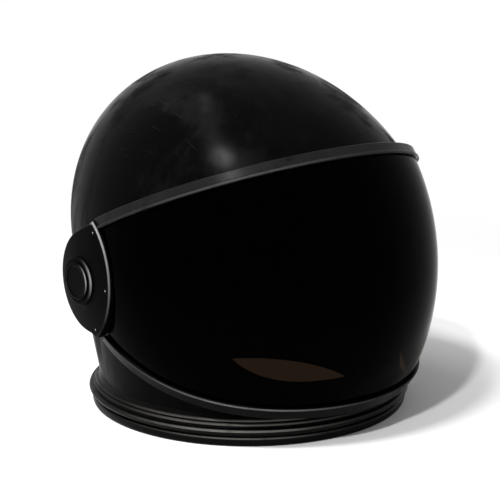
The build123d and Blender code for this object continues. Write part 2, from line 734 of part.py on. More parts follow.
# Each side's blank is cut to the lens by itself
ear_blanks = {"left": mirror(ear_blank.part, about=Plane.YZ), "right": ear_blank.part}
for side, blank in ear_blanks.items():
    with BuildPart() as ear_plate:
        add(blank)
        add(lens_space.part, mode=Mode.SUBTRACT)
    write(ear_plate.part, f"ear_plate_{side}")

with BuildPart() as ear_plate_screws:
    for place in ear_screw_places:
        seat_x = ear_face_x(*place) - EAR_SCREW_SINK
        nut_face_x = bubble_x(*place, -LENS_WALL) - EAR_NUT_HEIGHT
        with BuildSketch(SIDE_VIEW.offset(seat_x)):
            with Locations(place):
                Circle(EAR_SCREW_HEAD_RADIUS)
        extrude(amount=EAR_SCREW_HEAD_HEIGHT, taper=EAR_SCREW_HEAD_TAPER)
        with BuildSketch(SIDE_VIEW.offset(nut_face_x)):
            with Locations(place):
                Circle(EAR_SCREW_RADIUS)
        extrude(amount=seat_x - nut_face_x)
write_pair(ear_plate_screws.part, "ear_plate_screws")

with BuildPart() as ear_plate_nuts:
    for place in ear_screw_places:
        nut_face_x = bubble_x(*place, -LENS_WALL) - EAR_NUT_HEIGHT
        with BuildSketch(SIDE_VIEW.offset(nut_face_x)):
            with Locations(place):
                RegularPolygon(EAR_NUT_FLATS / 2, 6, major_radius=False)
                Circle(EAR_SCREW_RADIUS + FACE_GAP, mode=Mode.SUBTRACT)
        extrude(amount=EAR_NUT_HEIGHT + LENS_WALL)
    add(bubble(-LENS_WALL - FACE_GAP), mode=Mode.INTERSECT)
write_pair(ear_plate_nuts.part, "ear_plate_nuts")


def ear_plate_space():
    """The room that both ear plates take, which the bands stay out of."""
    with BuildPart() as form:
        with BuildSketch(SIDE_VIEW):
            add(ear_outline(-FACE_GAP))
        extrude(amount=REACH, both=True)
    return form.part


ear_space = ear_plate_space()


def band_layer(face_area, outer_rise, inner_rise):
    """The part of the bubble's skin between two rises that a side-view area covers."""
    with BuildPart() as form:
        with BuildSketch(SIDE_VIEW):
            add(face_area)
        extrude(amount=REACH, both=True)
        add(bubble(outer_rise), mode=Mode.INTERSECT)
        add(bubble(inner_rise), mode=Mode.SUBTRACT)
    return form.part


def brow_area(low, high):
    """The side-view strip between two rises above the brow line, ahead of the ears."""
    with BuildSketch(SIDE_VIEW) as area:
        add(below_brow(high))
        add(below_brow(low), mode=Mode.SUBTRACT)
        add(forward_of(BROW_BAND_END_Y), mode=Mode.INTERSECT)
    return area.sketch_local


def chin_area(low, high):
    """The side-view strip between two drops below the chin line, ahead of the ears."""
    with BuildSketch(SIDE_VIEW) as area:
        add(above_chin(high))
        add(above_chin(low), mode=Mode.SUBTRACT)
        add(forward_of(CHIN_BAND_END_Y), mode=Mode.INTERSECT)
        with Locations((CHIN_ARC_Y, PIVOT_Z)):
            Rectangle(2 * REACH, 2 * (PIVOT_Z + OVERRUN), mode=Mode.INTERSECT)
    return area.sketch_local


with BuildPart() as brow_band:
    add(band_layer(brow_area(0, BROW_BAND_WIDTH), BAND_FACE, FACE_GAP))
    add(
        band_layer(
            brow_area(BROW_BAND_WIDTH - LEDGE_THICKNESS, BROW_BAND_WIDTH), BAND_FACE, -BROW_LEDGE_DEPTH
        )
    )
    add(band_layer(brow_area(0, BEAD_WIDTH), BAND_FACE + BEAD_RISE, FACE_GAP))
    add(ear_space, mode=Mode.SUBTRACT)
write(brow_band.part, "brow_band")

with BuildPart() as chin_band:
    add(band_layer(chin_area(0, CHIN_BAND_WIDTH), BAND_FACE, FACE_GAP))
    add(
        band_layer(
            chin_area(CHIN_BAND_WIDTH - LEDGE_THICKNESS, CHIN_BAND_WIDTH), BAND_FACE, -CHIN_LEDGE_DEPTH
        )
    )
    add(band_layer(chin_area(0, BEAD_WIDTH), BAND_FACE + BEAD_RISE, FACE_GAP))
    add(ear_space, mode=Mode.SUBTRACT)
write(chin_band.part, "chin_band")


# Pads, each a slice of the space just inside the shell
def pad_layer(outer, inner, area_plane, area):
    """A pad between two nested forms, under an area drawn in a plane."""
    with BuildPart() as form:
        with BuildSketch(area_plane):
            add(area)
        extrude(amount=REACH)
        add(outer, mode=Mode.INTERSECT)
        add(inner, mode=Mode.SUBTRACT)
    return form.part


pad_back = SHELL_WALL + SOFT_GAP

# Room of the rear and side pads: inside the dome, and clear of the skirt's wall below it
with BuildPart() as pad_room:
    add(dome(pad_back))
    add(shell_form(SHELL_WALL + FACE_GAP, NECK_Z), mode=Mode.INTERSECT)

with BuildSketch(Plane.XY) as crown_area:
    with Locations((0, CROWN_PAD_Y)):
        Circle(CROWN_PAD_RADIUS)
crown_pad = pad_layer(
    dome(pad_back), dome(pad_back + PAD_THICKNESS), Plane.XY.offset(DOME_Z), crown_area.sketch_local
)
write(crown_pad, "crown_pad")

with BuildPart() as brow_pad:
    with BuildSketch(SIDE_VIEW):
        add(below_brow(BROW_SEAT - BROW_PAD_DROP - SHELL_WALL))
        add(below_brow(BROW_SEAT - BROW_PAD_DROP - SHELL_WALL - BROW_PAD_HEIGHT), mode=Mode.SUBTRACT)
        add(forward_of(0), mode=Mode.INTERSECT)
    extrude(amount=BROW_PAD_HALF_WIDTH, both=True)
    add(front(pad_back + EDGING_WALL), mode=Mode.INTERSECT)
    add(front(pad_back + EDGING_WALL + BROW_PAD_THICKNESS), mode=Mode.SUBTRACT)
write(brow_pad.part, "brow_pad")

with BuildSketch(Plane.ZX) as rear_area:
    with Locations((REAR_PAD_Z, 0)):
        RectangleRounded(REAR_PAD_HEIGHT, 2 * REAR_PAD_HALF_WIDTH, PAD_ROUND)
rear_pad = pad_layer(
    pad_room.part, dome(pad_back + PAD_THICKNESS), Plane.ZX.offset(PIVOT_Y), rear_area.sketch_local
)
write(rear_pad, "rear_pad")

with BuildSketch(SIDE_VIEW) as side_area:
    with Locations((SIDE_PAD_Y, SIDE_PAD_Z)):
        RectangleRounded(SIDE_PAD_WIDTH, SIDE_PAD_HEIGHT, PAD_ROUND)
side_pad = pad_layer(
    pad_room.part, dome(pad_back + PAD_THICKNESS), SIDE_VIEW, side_area.sketch_local
)
write_pair(side_pad, "side_pad")
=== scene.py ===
"""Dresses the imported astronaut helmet: smooth meshes over its solids, finishes, soft pads, light and camera.

Everything is in metres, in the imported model's own frame, apart from names that end in _mm.
Side-view outlines are given as (y, z) pairs, and angles in degrees unless a line says radians.
"""

import json
import logging
import math
from dataclasses import dataclass, field, replace
from enum import Enum
from typing import Callable, Protocol, Sequence, Union

import bmesh
import bpy
import numpy as np
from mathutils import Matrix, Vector


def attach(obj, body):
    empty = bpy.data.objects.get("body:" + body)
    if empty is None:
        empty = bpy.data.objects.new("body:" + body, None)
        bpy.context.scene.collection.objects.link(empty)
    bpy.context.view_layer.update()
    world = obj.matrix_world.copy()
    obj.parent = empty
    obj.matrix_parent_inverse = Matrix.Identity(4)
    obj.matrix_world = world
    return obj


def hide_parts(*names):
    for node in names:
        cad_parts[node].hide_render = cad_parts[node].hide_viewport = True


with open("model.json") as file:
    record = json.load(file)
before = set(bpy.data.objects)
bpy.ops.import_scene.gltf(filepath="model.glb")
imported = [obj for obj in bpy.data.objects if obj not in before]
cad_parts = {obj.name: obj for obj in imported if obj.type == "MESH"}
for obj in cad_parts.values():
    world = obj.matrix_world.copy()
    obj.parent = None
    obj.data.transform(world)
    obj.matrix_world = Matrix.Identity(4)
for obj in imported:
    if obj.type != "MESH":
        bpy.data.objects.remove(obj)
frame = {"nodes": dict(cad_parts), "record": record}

logging.basicConfig(level=logging.INFO, format="%(levelname)s %(name)s: %(message)s")
LOG = logging.getLogger("helmet")

MM = 0.001
IMAGE_SIDE = 500
SENSOR_MM = 36.0
# Name of the point attribute that holds a little real rubbing and, mostly, painted highlights on crests, lips
# and edges.
WEAR_AND_HIGHLIGHT = "wear"
WHITE = (1.0, 1.0, 1.0, 1.0)
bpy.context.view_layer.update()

Points = np.ndarray
Pair = tuple[float, float]
Triple = tuple[float, float, float]
Tree = bpy.types.NodeTree
Node = bpy.types.Node
Socket = bpy.types.NodeSocket
Operand = Union[Socket, float]
Mesh = bpy.types.Mesh
Piece = bpy.types.Object


class Body(Enum):
    """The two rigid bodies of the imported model."""

    HELMET = "helmet"
    VISOR = "visor"


class Slot(Enum):
    """The record's material slots."""

    SHELL = "shell_black"
    FRAME = "frame_metal"
    RING = "ring_black"
    LENS = "smoked_lens"
    RUBBER = "rubber"
    PADDING = "padding"
    STEEL = "steel"
    BRASS = "brass"
    WASHER = "washer"


class Side(Enum):
    """The helmet's two sides, as seen from in front."""

    LEFT = -1
    RIGHT = 1

    @property
    def word(self) -> str:
        """The ending of this side's node names."""
        return self.name.lower()


# Shader groups


class Shelf:
    """Builds each shared shader group once and hands it out again."""

    groups: dict[str, Tree] = {}

    @classmethod
    def take(cls, name: str, build: Callable[[str], Tree]) -> Tree:
        """The group of that name, built on first use.

        Args:
            name: the group's name.
            build: makes the group when it isn't there yet.

        Returns:
            The shared node group.
        """
        if name not in cls.groups:
            cls.groups[name] = build(name)
        return cls.groups[name]


@dataclass(frozen=True)
class Wiring:
    """Adds nodes to a tree and joins them up. An operand is a socket or a plain number."""

    tree: Tree

    def feed(self, target: Socket, operand: Operand) -> None:
        """Links a socket to an input, or sets the input to a number.

        Args:
            target: the input.
            operand: what it takes.
        """
        if isinstance(operand, (int, float)):
            target.default_value = operand
        else:
            self.tree.links.new(operand, target)

    def calculate(self, operation: str, first: Operand, second: Operand) -> Socket:
        """Adds a math node.

        Args:
            operation: the node's operation.
            first: its first operand.
            second: its second operand.

        Returns:
            The result.
        """
        node = self.tree.nodes.new("ShaderNodeMath")
        node.operation = operation
        self.feed(node.inputs[0], first)
        self.feed(node.inputs[1], second)
        return node.outputs[0]

    def times(self, first: Operand, second: Operand) -> Socket:
        """The product of two operands."""
        return self.calculate("MULTIPLY", first, second)

    def plus(self, first: Operand, second: Operand) -> Socket:
        """The sum of two operands."""
        return self.calculate("ADD", first, second)

    def larger(self, first: Operand, second: Operand) -> Socket:
        """The larger of two operands."""
        return self.calculate("MAXIMUM", first, second)

    def noise(self, place: Socket, scale: Operand, detail: float, rough: float = 0.5) -> Socket:
        """Adds a noise texture.

        Args:
            place: the coordinates.
            scale: how fine it is.
            detail: how many finer layers it has.
            rough: how strong the finer layers are.

        Returns:
            The noise's value.
        """
        node = self.tree.nodes.new("ShaderNodeTexNoise")
        for label, value in (("Vector", place), ("Scale", scale), ("Detail", detail), ("Roughness", rough)):
            self.feed(node.inputs[label], value)
        return node.outputs[0]

    def stretched(self, place: Socket, scale: Triple, turn: Triple) -> Socket:
        """Squeezes and turns coordinates.

        Args:
            place: the coordinates.
            scale: the squeeze along each axis.
            turn: the turn about each axis, in radians.

        Returns:
            The new coordinates.
        """
        node = self.tree.nodes.new("ShaderNodeMapping")
        node.inputs["Scale"].default_value = scale
        node.inputs["Rotation"].default_value = turn
        self.feed(node.inputs["Vector"], place)
        return node.outputs[0]

    def eased(self, value: Socket, low: float, high: float) -> Socket:
        """Maps a value from between two limits to between 0 and 1, smoothly.

        Args:
            value: what is mapped.
            low: the limit that becomes 0.
            high: the limit that becomes 1.

        Returns:
            The mapped value.
        """
        node = self.tree.nodes.new("ShaderNodeMapRange")
        node.interpolation_type = "SMOOTHSTEP"
        for label, operand in (("Value", value), ("From Min", low), ("From Max", high)):
            self.feed(node.inputs[label], operand)
        return node.outputs[0]

    def mixed_colour(self, share: Socket, first: Socket, second: Socket) -> Socket:
        """Mixes two colours.

        Args:
            share: how much of the second one shows.
            first: the first colour.
            second: the second colour.

        Returns:
            The mixed colour.
        """
        node = self.tree.nodes.new("ShaderNodeMix")
        node.data_type = "RGBA"
        for index, source in ((0, share), (6, first), (7, second)):
            self.feed(node.inputs[index], source)
        return node.outputs[2]

    def mixed_shader(self, share: Socket, first: Socket, second: Socket) -> Socket:
        """Mixes two shaders.

        Args:
            share: how much of the second one shows.
            first: the first shader.
            second: the second shader.

        Returns:
            The mixed shader.
        """
        node = self.tree.nodes.new("ShaderNodeMixShader")
        for index, source in enumerate((share, first, second)):
            self.feed(node.inputs[index], source)
        return node.outputs[0]


def new_group(
    name: str, floats: dict[str, float], colours: dict[str, Triple]
) -> tuple[Wiring, Node, Node, Socket]:
    """Starts a shader group with named inputs and the three usual outputs.

    Args:
        name: the group's name.
        floats: number inputs and their defaults.
        colours: colour inputs and their defaults.

    Returns:
        The group's wiring, its input node, its output node and the Object coordinates.
    """
    tree = bpy.data.node_groups.new(name, "ShaderNodeTree")
    for label, colour in colours.items():
        entry = tree.interface.new_socket(label, in_out="INPUT", socket_type="NodeSocketColor")
        entry.default_value = (*colour, 1.0)
    for label, value in floats.items():
        tree.interface.new_socket(label, in_out="INPUT", socket_type="NodeSocketFloat").default_value = value
    for label, kind in (("Colour", "Color"), ("Roughness", "Float"), ("Height", "Float")):
        tree.interface.new_socket(label, in_out="OUTPUT", socket_type=f"NodeSocket{kind}")
    given = tree.nodes.new("NodeGroupInput")
    made = tree.nodes.new("NodeGroupOutput")
    coordinates = tree.nodes.new("ShaderNodeTexCoord")
    return Wiring(tree), given, made, coordinates.outputs["Object"]


@dataclass(frozen=True)
class HandledSurface:
    """A hard surface that has been handled: wiped smears, dust, a moulded ripple and hairline scratches.

    Turns are in radians. A range holds the two noise values that become 0 and 1.
    """

    smear_stretch: Triple = (9.0, 9.0, 2.2)
    smear_turn: Triple = (0.5, 0.35, 0.4)
    smear_scale: float = 3.0
    smear_range: Pair = (0.42, 0.72)
    smear_rough: float = 0.6
    patch_scale: float = 14.0
    patch_range: Pair = (0.4, 0.75)
    speck_scale: float = 350.0
    speck_range: Pair = (0.77, 0.8)
    hair_turns: tuple[Triple, ...] = ((0.3, 0.9, 0.2), (1.1, 0.2, 1.3), (0.1, 1.9, 2.3))
    hair_stretch: Triple = (260.0, 8.0, 8.0)
    hair_scale: float = 3.0
    hair_range: Pair = (0.7, 0.75)
    hair_rough: float = 0.3
    hair_depth: float = 0.2
    # Patches that break up the rubbing and painted highlight that a mesh's attribute asks for.
    bare_scale: float = 60.0
    bare_range: Pair = (0.1, 0.5)
    ripple_scale: float = 38.0

    def hairlines(self, wiring: Wiring, place: Socket) -> Socket:
        """Fine scratches in a few directions.

        Args:
            wiring: the group's wiring.
            place: the coordinates.

        Returns:
            1 on a scratch and 0 beside it.
        """
        lines: Operand = 0.0
        for turn in self.hair_turns:
            streak = wiring.stretched(place, self.hair_stretch, turn)
            hair = wiring.eased(wiring.noise(streak, self.hair_scale, detail=1.0), *self.hair_range)
            lines = wiring.larger(lines, hair)
        return lines

    def build(self, name: str) -> Tree:
        """Builds the group.

        Args:
            name: the group's name.

        Returns:
            Its tree.
        """
        wiring, given, made, place = new_group(
            name,
            {
                "Base Roughness": 0.3, "Smear": 0.1, "Ripple": 0.2, "Hairlines": 0.3, "Grain": 0.0,
                "Grain Scale": 900.0, "Wear": 0.0,
            },
            {"Base Colour": grey(0.01), "Dust Colour": grey(0.03), "Wear Colour": grey(0.1)},
        )
        amount = given.outputs
        wiped = wiring.stretched(place, self.smear_stretch, self.smear_turn)
        smear = wiring.eased(wiring.noise(wiped, self.smear_scale, detail=5.0, rough=0.6), *self.smear_range)
        clouds = wiring.noise(place, self.patch_scale, detail=4.0, rough=0.55)
        patches = wiring.eased(clouds, *self.patch_range)
        specks = wiring.eased(wiring.noise(place, self.speck_scale, detail=1.0), *self.speck_range)
        clouds = wiring.noise(place, self.bare_scale, detail=4.0, rough=0.6)
        wear_and_highlight_patches = wiring.eased(clouds, *self.bare_range)
        scratched = wiring.times(wiring.times(self.hairlines(wiring, place), patches), amount["Hairlines"])

        dusty = wiring.times(wiring.plus(wiring.times(smear, patches), specks), amount["Smear"])
        share = wiring.calculate("MINIMUM", wiring.plus(dusty, scratched), 1.0)
        dusted = wiring.mixed_colour(share, amount["Base Colour"], amount["Dust Colour"])
        # Where the attribute is set, the pale colour is mixed in: a little real rubbing, mostly a painted
        # highlight.
        wear_and_highlight_share = wiring.times(amount["Wear"], wear_and_highlight_patches)
        wiring.feed(made.inputs["Colour"], wiring.mixed_colour(wear_and_highlight_share, dusted, amount["Wear Colour"]))

        smeared = wiring.times(wiring.times(smear, amount["Smear"]), self.smear_rough)
        scuffed = wiring.times(scratched, self.hair_rough)
        rough = wiring.plus(wiring.plus(amount["Base Roughness"], smeared), scuffed)
        wiring.feed(made.inputs["Roughness"], rough)

        ripple = wiring.times(wiring.noise(place, self.ripple_scale, detail=2.0), amount["Ripple"])
        grain = wiring.times(wiring.noise(place, amount["Grain Scale"], detail=2.0), amount["Grain"])
        height = wiring.plus(wiring.plus(ripple, grain), wiring.times(scratched, -self.hair_depth))
        wiring.feed(made.inputs["Height"], height)
        return wiring.tree


@dataclass(frozen=True)
class WovenCloth:
    """Plain-woven cloth: crossed sets of threads with a little fading between them.

    A thread set is an axis and where its wave starts, in radians.
    """

    thread_sets: tuple[tuple[str, float], ...] = (("X", 0.0), ("Y", 1.57), ("Z", 0.8))
    waver: float = 0.6
    fade_scale: float = 30.0
    fade_range: Pair = (0.3, 0.8)

    def build(self, name: str) -> Tree:
        """Builds the group.

        Args:
            name: the group's name.

        Returns:
            Its tree.
        """
        wiring, given, made, place = new_group(
            name,
            {"Base Roughness": 0.85, "Threads": 420.0, "Depth": 1.0},
            {"Base Colour": grey(0.03), "Thread Colour": grey(0.06)},
        )
        amount = given.outputs
        weave: Operand = 1.0
        for direction, shift in self.thread_sets:
            wave = wiring.tree.nodes.new("ShaderNodeTexWave")
            wave.bands_direction = direction
            wiring.feed(wave.inputs["Vector"], place)
            wiring.feed(wave.inputs["Scale"], amount["Threads"])
            wiring.feed(wave.inputs["Distortion"], self.waver)
            wiring.feed(wave.inputs["Phase Offset"], shift)
            weave = wiring.times(weave, wave.outputs[1])
        fade = wiring.eased(wiring.noise(place, self.fade_scale, detail=4.0), *self.fade_range)
        share = wiring.times(wiring.plus(weave, fade), 0.5)
        colour = wiring.mixed_colour(share, amount["Base Colour"], amount["Thread Colour"])
        wiring.feed(made.inputs["Colour"], colour)
        wiring.feed(made.inputs["Roughness"], amount["Base Roughness"])
        wiring.feed(made.inputs["Height"], wiring.times(weave, amount["Depth"]))
        return wiring.tree


# Finishes


def grey(value: float) -> Triple:
    """A neutral colour."""
    return (value, value, value)


@dataclass(frozen=True)
class Finish:
    """One procedural finish: a shared group for what varies, plain socket values for the rest."""

    name: str
    group: str
    build: Callable[[str], Tree]
    colours: dict[str, Triple]
    amounts: dict[str, float]
    metallic: float = 0.0
    specular: float = 0.5
    sheen: float = 0.0
    transmission: float = 0.0
    ior: float = 1.5
    bump_mm: float = 0.05

    def group_node(self, tree: Tree) -> Node:
        """Places the shared group in a material, with this finish's own values.

        Args:
            tree: the material's tree.

        Returns:
            The group's node.
        """
        group = tree.nodes.new("ShaderNodeGroup")
        group.node_tree = Shelf.take(self.group, self.build)
        for label, colour in self.colours.items():
            group.inputs[label].default_value = (*colour, 1.0)
        for label, amount in self.amounts.items():
            group.inputs[label].default_value = amount
        # The mesh's attribute of rubbing and painted highlight drives the group's pale mix.
        if "Wear" in group.inputs:
            wear_and_highlight_node = tree.nodes.new("ShaderNodeAttribute")
            wear_and_highlight_node.attribute_name = WEAR_AND_HIGHLIGHT
            tree.links.new(wear_and_highlight_node.outputs["Fac"], group.inputs["Wear"])
        return group

    def material(self) -> bpy.types.Material:
        """The finish's material, built on first use.

        Returns:
            The material.
        """
        known = bpy.data.materials.get(self.name)
        if known:
            return known
        made = bpy.data.materials.new(self.name)
        made.use_nodes = True
        tree = made.node_tree
        shader = tree.nodes["Principled BSDF"]
        group = self.group_node(tree)
        bump = tree.nodes.new("ShaderNodeBump")
        bump.inputs["Distance"].default_value = self.bump_mm * MM
        bump.inputs["Strength"].default_value = 1.0
        tree.links.new(group.outputs["Height"], bump.inputs["Height"])
        tree.links.new(bump.outputs["Normal"], shader.inputs["Normal"])
        tree.links.new(group.outputs["Colour"], shader.inputs["Base Color"])
        tree.links.new(group.outputs["Roughness"], shader.inputs["Roughness"])
        shader.inputs["Metallic"].default_value = self.metallic
        shader.inputs["Specular IOR Level"].default_value = self.specular
        shader.inputs["Sheen Weight"].default_value = self.sheen
        shader.inputs["Transmission Weight"].default_value = self.transmission
        shader.inputs["IOR"].default_value = self.ior
        return made


HANDLED = ("Handled surface", HandledSurface().build)
CLOTH = ("Woven cloth", WovenCloth().build)

SHELL_GLOSS = Finish(
    "Polished black shell", *HANDLED,
    {"Base Colour": (0.001, 0.001, 0.0011), "Dust Colour": (0.0095, 0.0095, 0.0098)},
    {"Base Roughness": 0.2, "Smear": 0.7, "Ripple": 0.25, "Hairlines": 0.6},
    specular=0.014, bump_mm=0.03,
)
# Its pale colour goes where the attribute asks: a painted highlight along the ear lips, the cap edges and the
# strips' beads, over a little real rubbing.
FRAME_PAINT = Finish(
    "Black painted frame", *HANDLED,
    {"Base Colour": (0.001, 0.001, 0.0011), "Dust Colour": grey(0.014), "Wear Colour": grey(0.26)},
    {
        "Base Roughness": 0.26, "Smear": 0.2, "Ripple": 0.05, "Hairlines": 0.4, "Grain": 0.3,
        "Grain Scale": 1400.0,
    },
    specular=0.01, bump_mm=0.02,
)
STRIP_PAINT = replace(
    FRAME_PAINT, name="Black painted strip", specular=0.03,
    amounts={**FRAME_PAINT.amounts, "Base Roughness": 0.24, "Smear": 0.4},
)
# Its pale colour is a painted highlight along the crests at the front left, over a little real rubbing all
# round.
RING_SATIN = Finish(
    "Satin black ring", *HANDLED,
    {
        "Base Colour": (0.0014, 0.0013, 0.0012), "Dust Colour": (0.009, 0.0085, 0.007),
        "Wear Colour": (0.3, 0.29, 0.27),
    },
    {
        "Base Roughness": 0.32, "Smear": 0.3, "Ripple": 0.05, "Hairlines": 0.45, "Grain": 0.3,
        "Grain Scale": 1100.0,
    },
    specular=0.04, bump_mm=0.02,
)
SMOKED_LENS = Finish(
    "Smoked lens", *HANDLED,
    {"Base Colour": (0.0145, 0.0085, 0.005), "Dust Colour": (0.02, 0.012, 0.008)},
    {"Base Roughness": 0.02, "Smear": 0.03, "Ripple": 0.0, "Hairlines": 0.1},
    transmission=1.0, ior=1.045, bump_mm=0.004,
)
RUBBER = Finish(
    "Black rubber", *HANDLED,
    {"Base Colour": grey(0.008), "Dust Colour": (0.04, 0.04, 0.038)},
    {
        "Base Roughness": 0.7, "Smear": 0.3, "Ripple": 0.1, "Hairlines": 0.0, "Grain": 1.0,
        "Grain Scale": 700.0,
    },
    specular=0.3, bump_mm=0.05,
)
PAD_CLOTH = Finish(
    "Dark pad cloth", *CLOTH,
    {"Base Colour": (0.012, 0.012, 0.014), "Thread Colour": (0.04, 0.04, 0.045)},
    {"Base Roughness": 0.9, "Threads": 420.0, "Depth": 1.0},
    specular=0.2, sheen=0.3, bump_mm=0.3,
)
# On the ring screws the last, darker colour fills the recess, which comes out slightly darker than the steel.
STEEL = Finish(
    "Plain steel", *HANDLED,
    {"Base Colour": (0.42, 0.42, 0.43), "Dust Colour": (0.2, 0.19, 0.18), "Wear Colour": grey(0.3)},
    {
        "Base Roughness": 0.3, "Smear": 0.3, "Ripple": 0.0, "Hairlines": 0.6, "Grain": 0.4,
        "Grain Scale": 1200.0,
    },
    metallic=1.0, bump_mm=0.02,
)
# The pale colour in its recess is a painted glint.
BLACK_SCREW = replace(
    STEEL, name="Blackened screw", metallic=0.0, specular=0.02,
    colours={"Base Colour": grey(0.002), "Dust Colour": grey(0.02), "Wear Colour": grey(0.5)},
)
BRASS = replace(
    STEEL, name="Turned brass",
    colours={"Base Colour": (0.55, 0.38, 0.14), "Dust Colour": (0.2, 0.15, 0.08)},
)
WASHER = Finish(
    "Pale washer plastic", *HANDLED,
    {"Base Colour": (0.6, 0.6, 0.56), "Dust Colour": (0.3, 0.29, 0.26)},
    {"Base Roughness": 0.5, "Smear": 0.3, "Ripple": 0.1, "Hairlines": 0.2},
    bump_mm=0.02,
)
FINISHES: dict[Slot, Finish] = {
    Slot.SHELL: SHELL_GLOSS, Slot.FRAME: FRAME_PAINT, Slot.RING: RING_SATIN, Slot.LENS: SMOKED_LENS,
    Slot.RUBBER: RUBBER, Slot.PADDING: PAD_CLOTH, Slot.STEEL: STEEL, Slot.BRASS: BRASS, Slot.WASHER: WASHER,
}


# Shapes that the solids were drawn from


class Surface(Protocol):
    """A known form that says how far points lie from it and which way it faces there."""

    def gradient(self, points: Points) -> tuple[Points, Points]:
        """The signed distances of points, to first order, and the outward unit normals."""


@dataclass(frozen=True)
class Spheroid:
    """A spheroid turned about an axis in the side plane that leans back from upright by tilt degrees."""

    y: float
    z: float
    radius: float
    half_length: float
    tilt: float

    @property
    def centre(self) -> Points:
        """The middle of the spheroid."""
        return np.array([0.0, self.y, self.z])

    @property
    def axis(self) -> Points:
        """The direction of its long axis."""
        lean = math.radians(self.tilt)
        return np.array([0.0, math.sin(lean), math.cos(lean)])

    @property
    def ahead(self) -> Points:
        """The direction square to the axis that points forward."""
        lean = math.radians(self.tilt)
        return np.array([0.0, -math.cos(lean), math.sin(lean)])

    def grown(self, rise: float) -> "Spheroid":
        """The spheroid raised by rise."""
        return replace(self, radius=self.radius + rise, half_length=self.half_length + rise)

    def gradient(self, points: Points) -> tuple[Points, Points]:
        """How far points lie from the surface, and the outward unit normals there.

        Args:
            points: rows of x, y, z.

        Returns:
            The signed distances, to first order, and the unit normals.
        """
        away = points - self.centre
        along = away @ self.axis
        across = away - along[:, None] * self.axis
        value = (along / self.half_length) ** 2 + (across**2).sum(1) / self.radius**2 - 1
        slope = 2 * (along / self.half_length**2)[:, None] * self.axis + 2 * across / self.radius**2
        length = np.linalg.norm(slope, axis=1)
        return value / length, slope / length[:, None]

    def at(self, turn: Points, rise: Points) -> Points:
        """Points on the spheroid.

        Args:
            turn: how far each is turned from straight ahead, in radians.
            rise: the angle of its height, in radians.

        Returns:
            Rows of x, y, z.
        """
        level = np.cos(turn)[..., None] * self.ahead + np.sin(turn)[..., None] * np.array([1.0, 0.0, 0.0])
        out = self.radius * np.cos(rise)[..., None] * level
        return self.centre + out + self.half_length * np.sin(rise)[..., None] * self.axis


PIVOT = np.array([29.3, 136.2]) * MM
DOME = Spheroid(-4.4 * MM, 159.2 * MM, 165.2 * MM, 204.0 * MM, 60.8)
BUBBLE = Spheroid(-13.0 * MM, 147.3 * MM, 173.0 * MM, 209.0 * MM, 16.0)


@dataclass(frozen=True)
class TurnedFront:
    """The shell's front behind the visor: a spheroid turned about the pivot line."""

    half_width: float = 157.0 * MM
    radius: float = 204.0 * MM

    def grown(self, rise: float) -> "TurnedFront":
        """The form raised by rise."""
        return TurnedFront(self.half_width + rise, self.radius + rise)

    def gradient(self, points: Points) -> tuple[Points, Points]:
        """How far points lie from the surface, and the outward unit normals there.

        Args:
            points: rows of x, y, z.

        Returns:
            The signed distances, to first order, and the unit normals.
        """
        away = points - np.array([0.0, *PIVOT])
        scale = np.array([1 / self.half_width**2, 1 / self.radius**2, 1 / self.radius**2])
        value = (away**2 * scale).sum(1) - 1
        slope = 2 * away * scale
        length = np.linalg.norm(slope, axis=1)
        return value / length, slope / length[:, None]


# Meshes


# Points closer than MERGE_REACH are merged, and edges shorter than SPECK vanish. A face lies on a known
# surface when its corners are within ON_SURFACE of it and its own normal agrees to LEAST_FACING.
# A rounded corner takes at most MOST_OF_HALF of a side.
MERGE_REACH = 1e-6
SPECK = 1e-7
NEAR_ZERO = 1e-12
FACET_ANGLE = 32.0
ON_SURFACE = 0.03 * MM
LEAST_FACING = 0.9
MOST_OF_HALF = 0.49


def linked(name: str, data: bpy.types.ID) -> Piece:
    """A new object in the scene.

    Args:
        name: its name.
        data: the mesh, lamp or camera that it holds.

    Returns:
        The object.
    """
    made = bpy.data.objects.new(name, data)
    bpy.context.scene.collection.objects.link(made)
    return made


def carried_out(piece: Piece) -> Mesh:
    """A plain mesh of a piece with its modifiers carried out."""
    evaluated = piece.evaluated_get(bpy.context.evaluated_depsgraph_get())
    return bpy.data.meshes.new_from_object(evaluated)


def read(items: bpy.types.bpy_prop_collection, key: str, width: int = 1, kind: type = float) -> Points:
    """One property of all items of a mesh.

    Args:
        items: the vertices, corners or faces.
        key: the property.
        width: how many numbers each item has.
        kind: the numbers' type.

    Returns:
        One number or one row for each item.
    """
    values = np.empty(len(items) * width, dtype=kind)
    items.foreach_get(key, values)
    return values.reshape(-1, width) if width > 1 else values


def new_piece(name: str, mesh: Mesh, body: Body, slot: Slot, nodes: Sequence[str]) -> Piece:
    """Links a finished mesh as a piece that stands for CAD nodes.

    Args:
        name: the piece's name.
        mesh: its mesh, in the row frame.
        body: the body that it rides on.
        slot: the record's material slot.
        nodes: the CAD nodes that it stands for.

    Returns:
        The piece.
    """
    piece = linked(name, mesh)
    if not mesh.materials:
        mesh.materials.append(FINISHES[slot].material())
    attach(piece, body.value)
    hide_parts(*nodes)
    return piece


def shade(mesh: Mesh, angle: float = FACET_ANGLE) -> None:
    """Shades a mesh smooth, apart from edges sharper than an angle."""
    mesh.shade_smooth()
    mesh.set_sharp_from_angle(angle=math.radians(angle))


def merged_copy(node: str, name: str) -> Mesh:
    """A copy of a CAD node's mesh with its loose triangles joined.

    Args:
        node: the CAD node.
        name: the copy's name.

    Returns:
        The copy, without a material.
    """
    mesh = frame["nodes"][node].data.copy()
    mesh.name = name
    mesh.materials.clear()
    work = bmesh.new()
    work.from_mesh(mesh)
    bmesh.ops.remove_doubles(work, verts=work.verts, dist=MERGE_REACH)
    bmesh.ops.dissolve_degenerate(work, edges=work.edges, dist=SPECK)
    work.to_mesh(mesh)
    work.free()
    return mesh


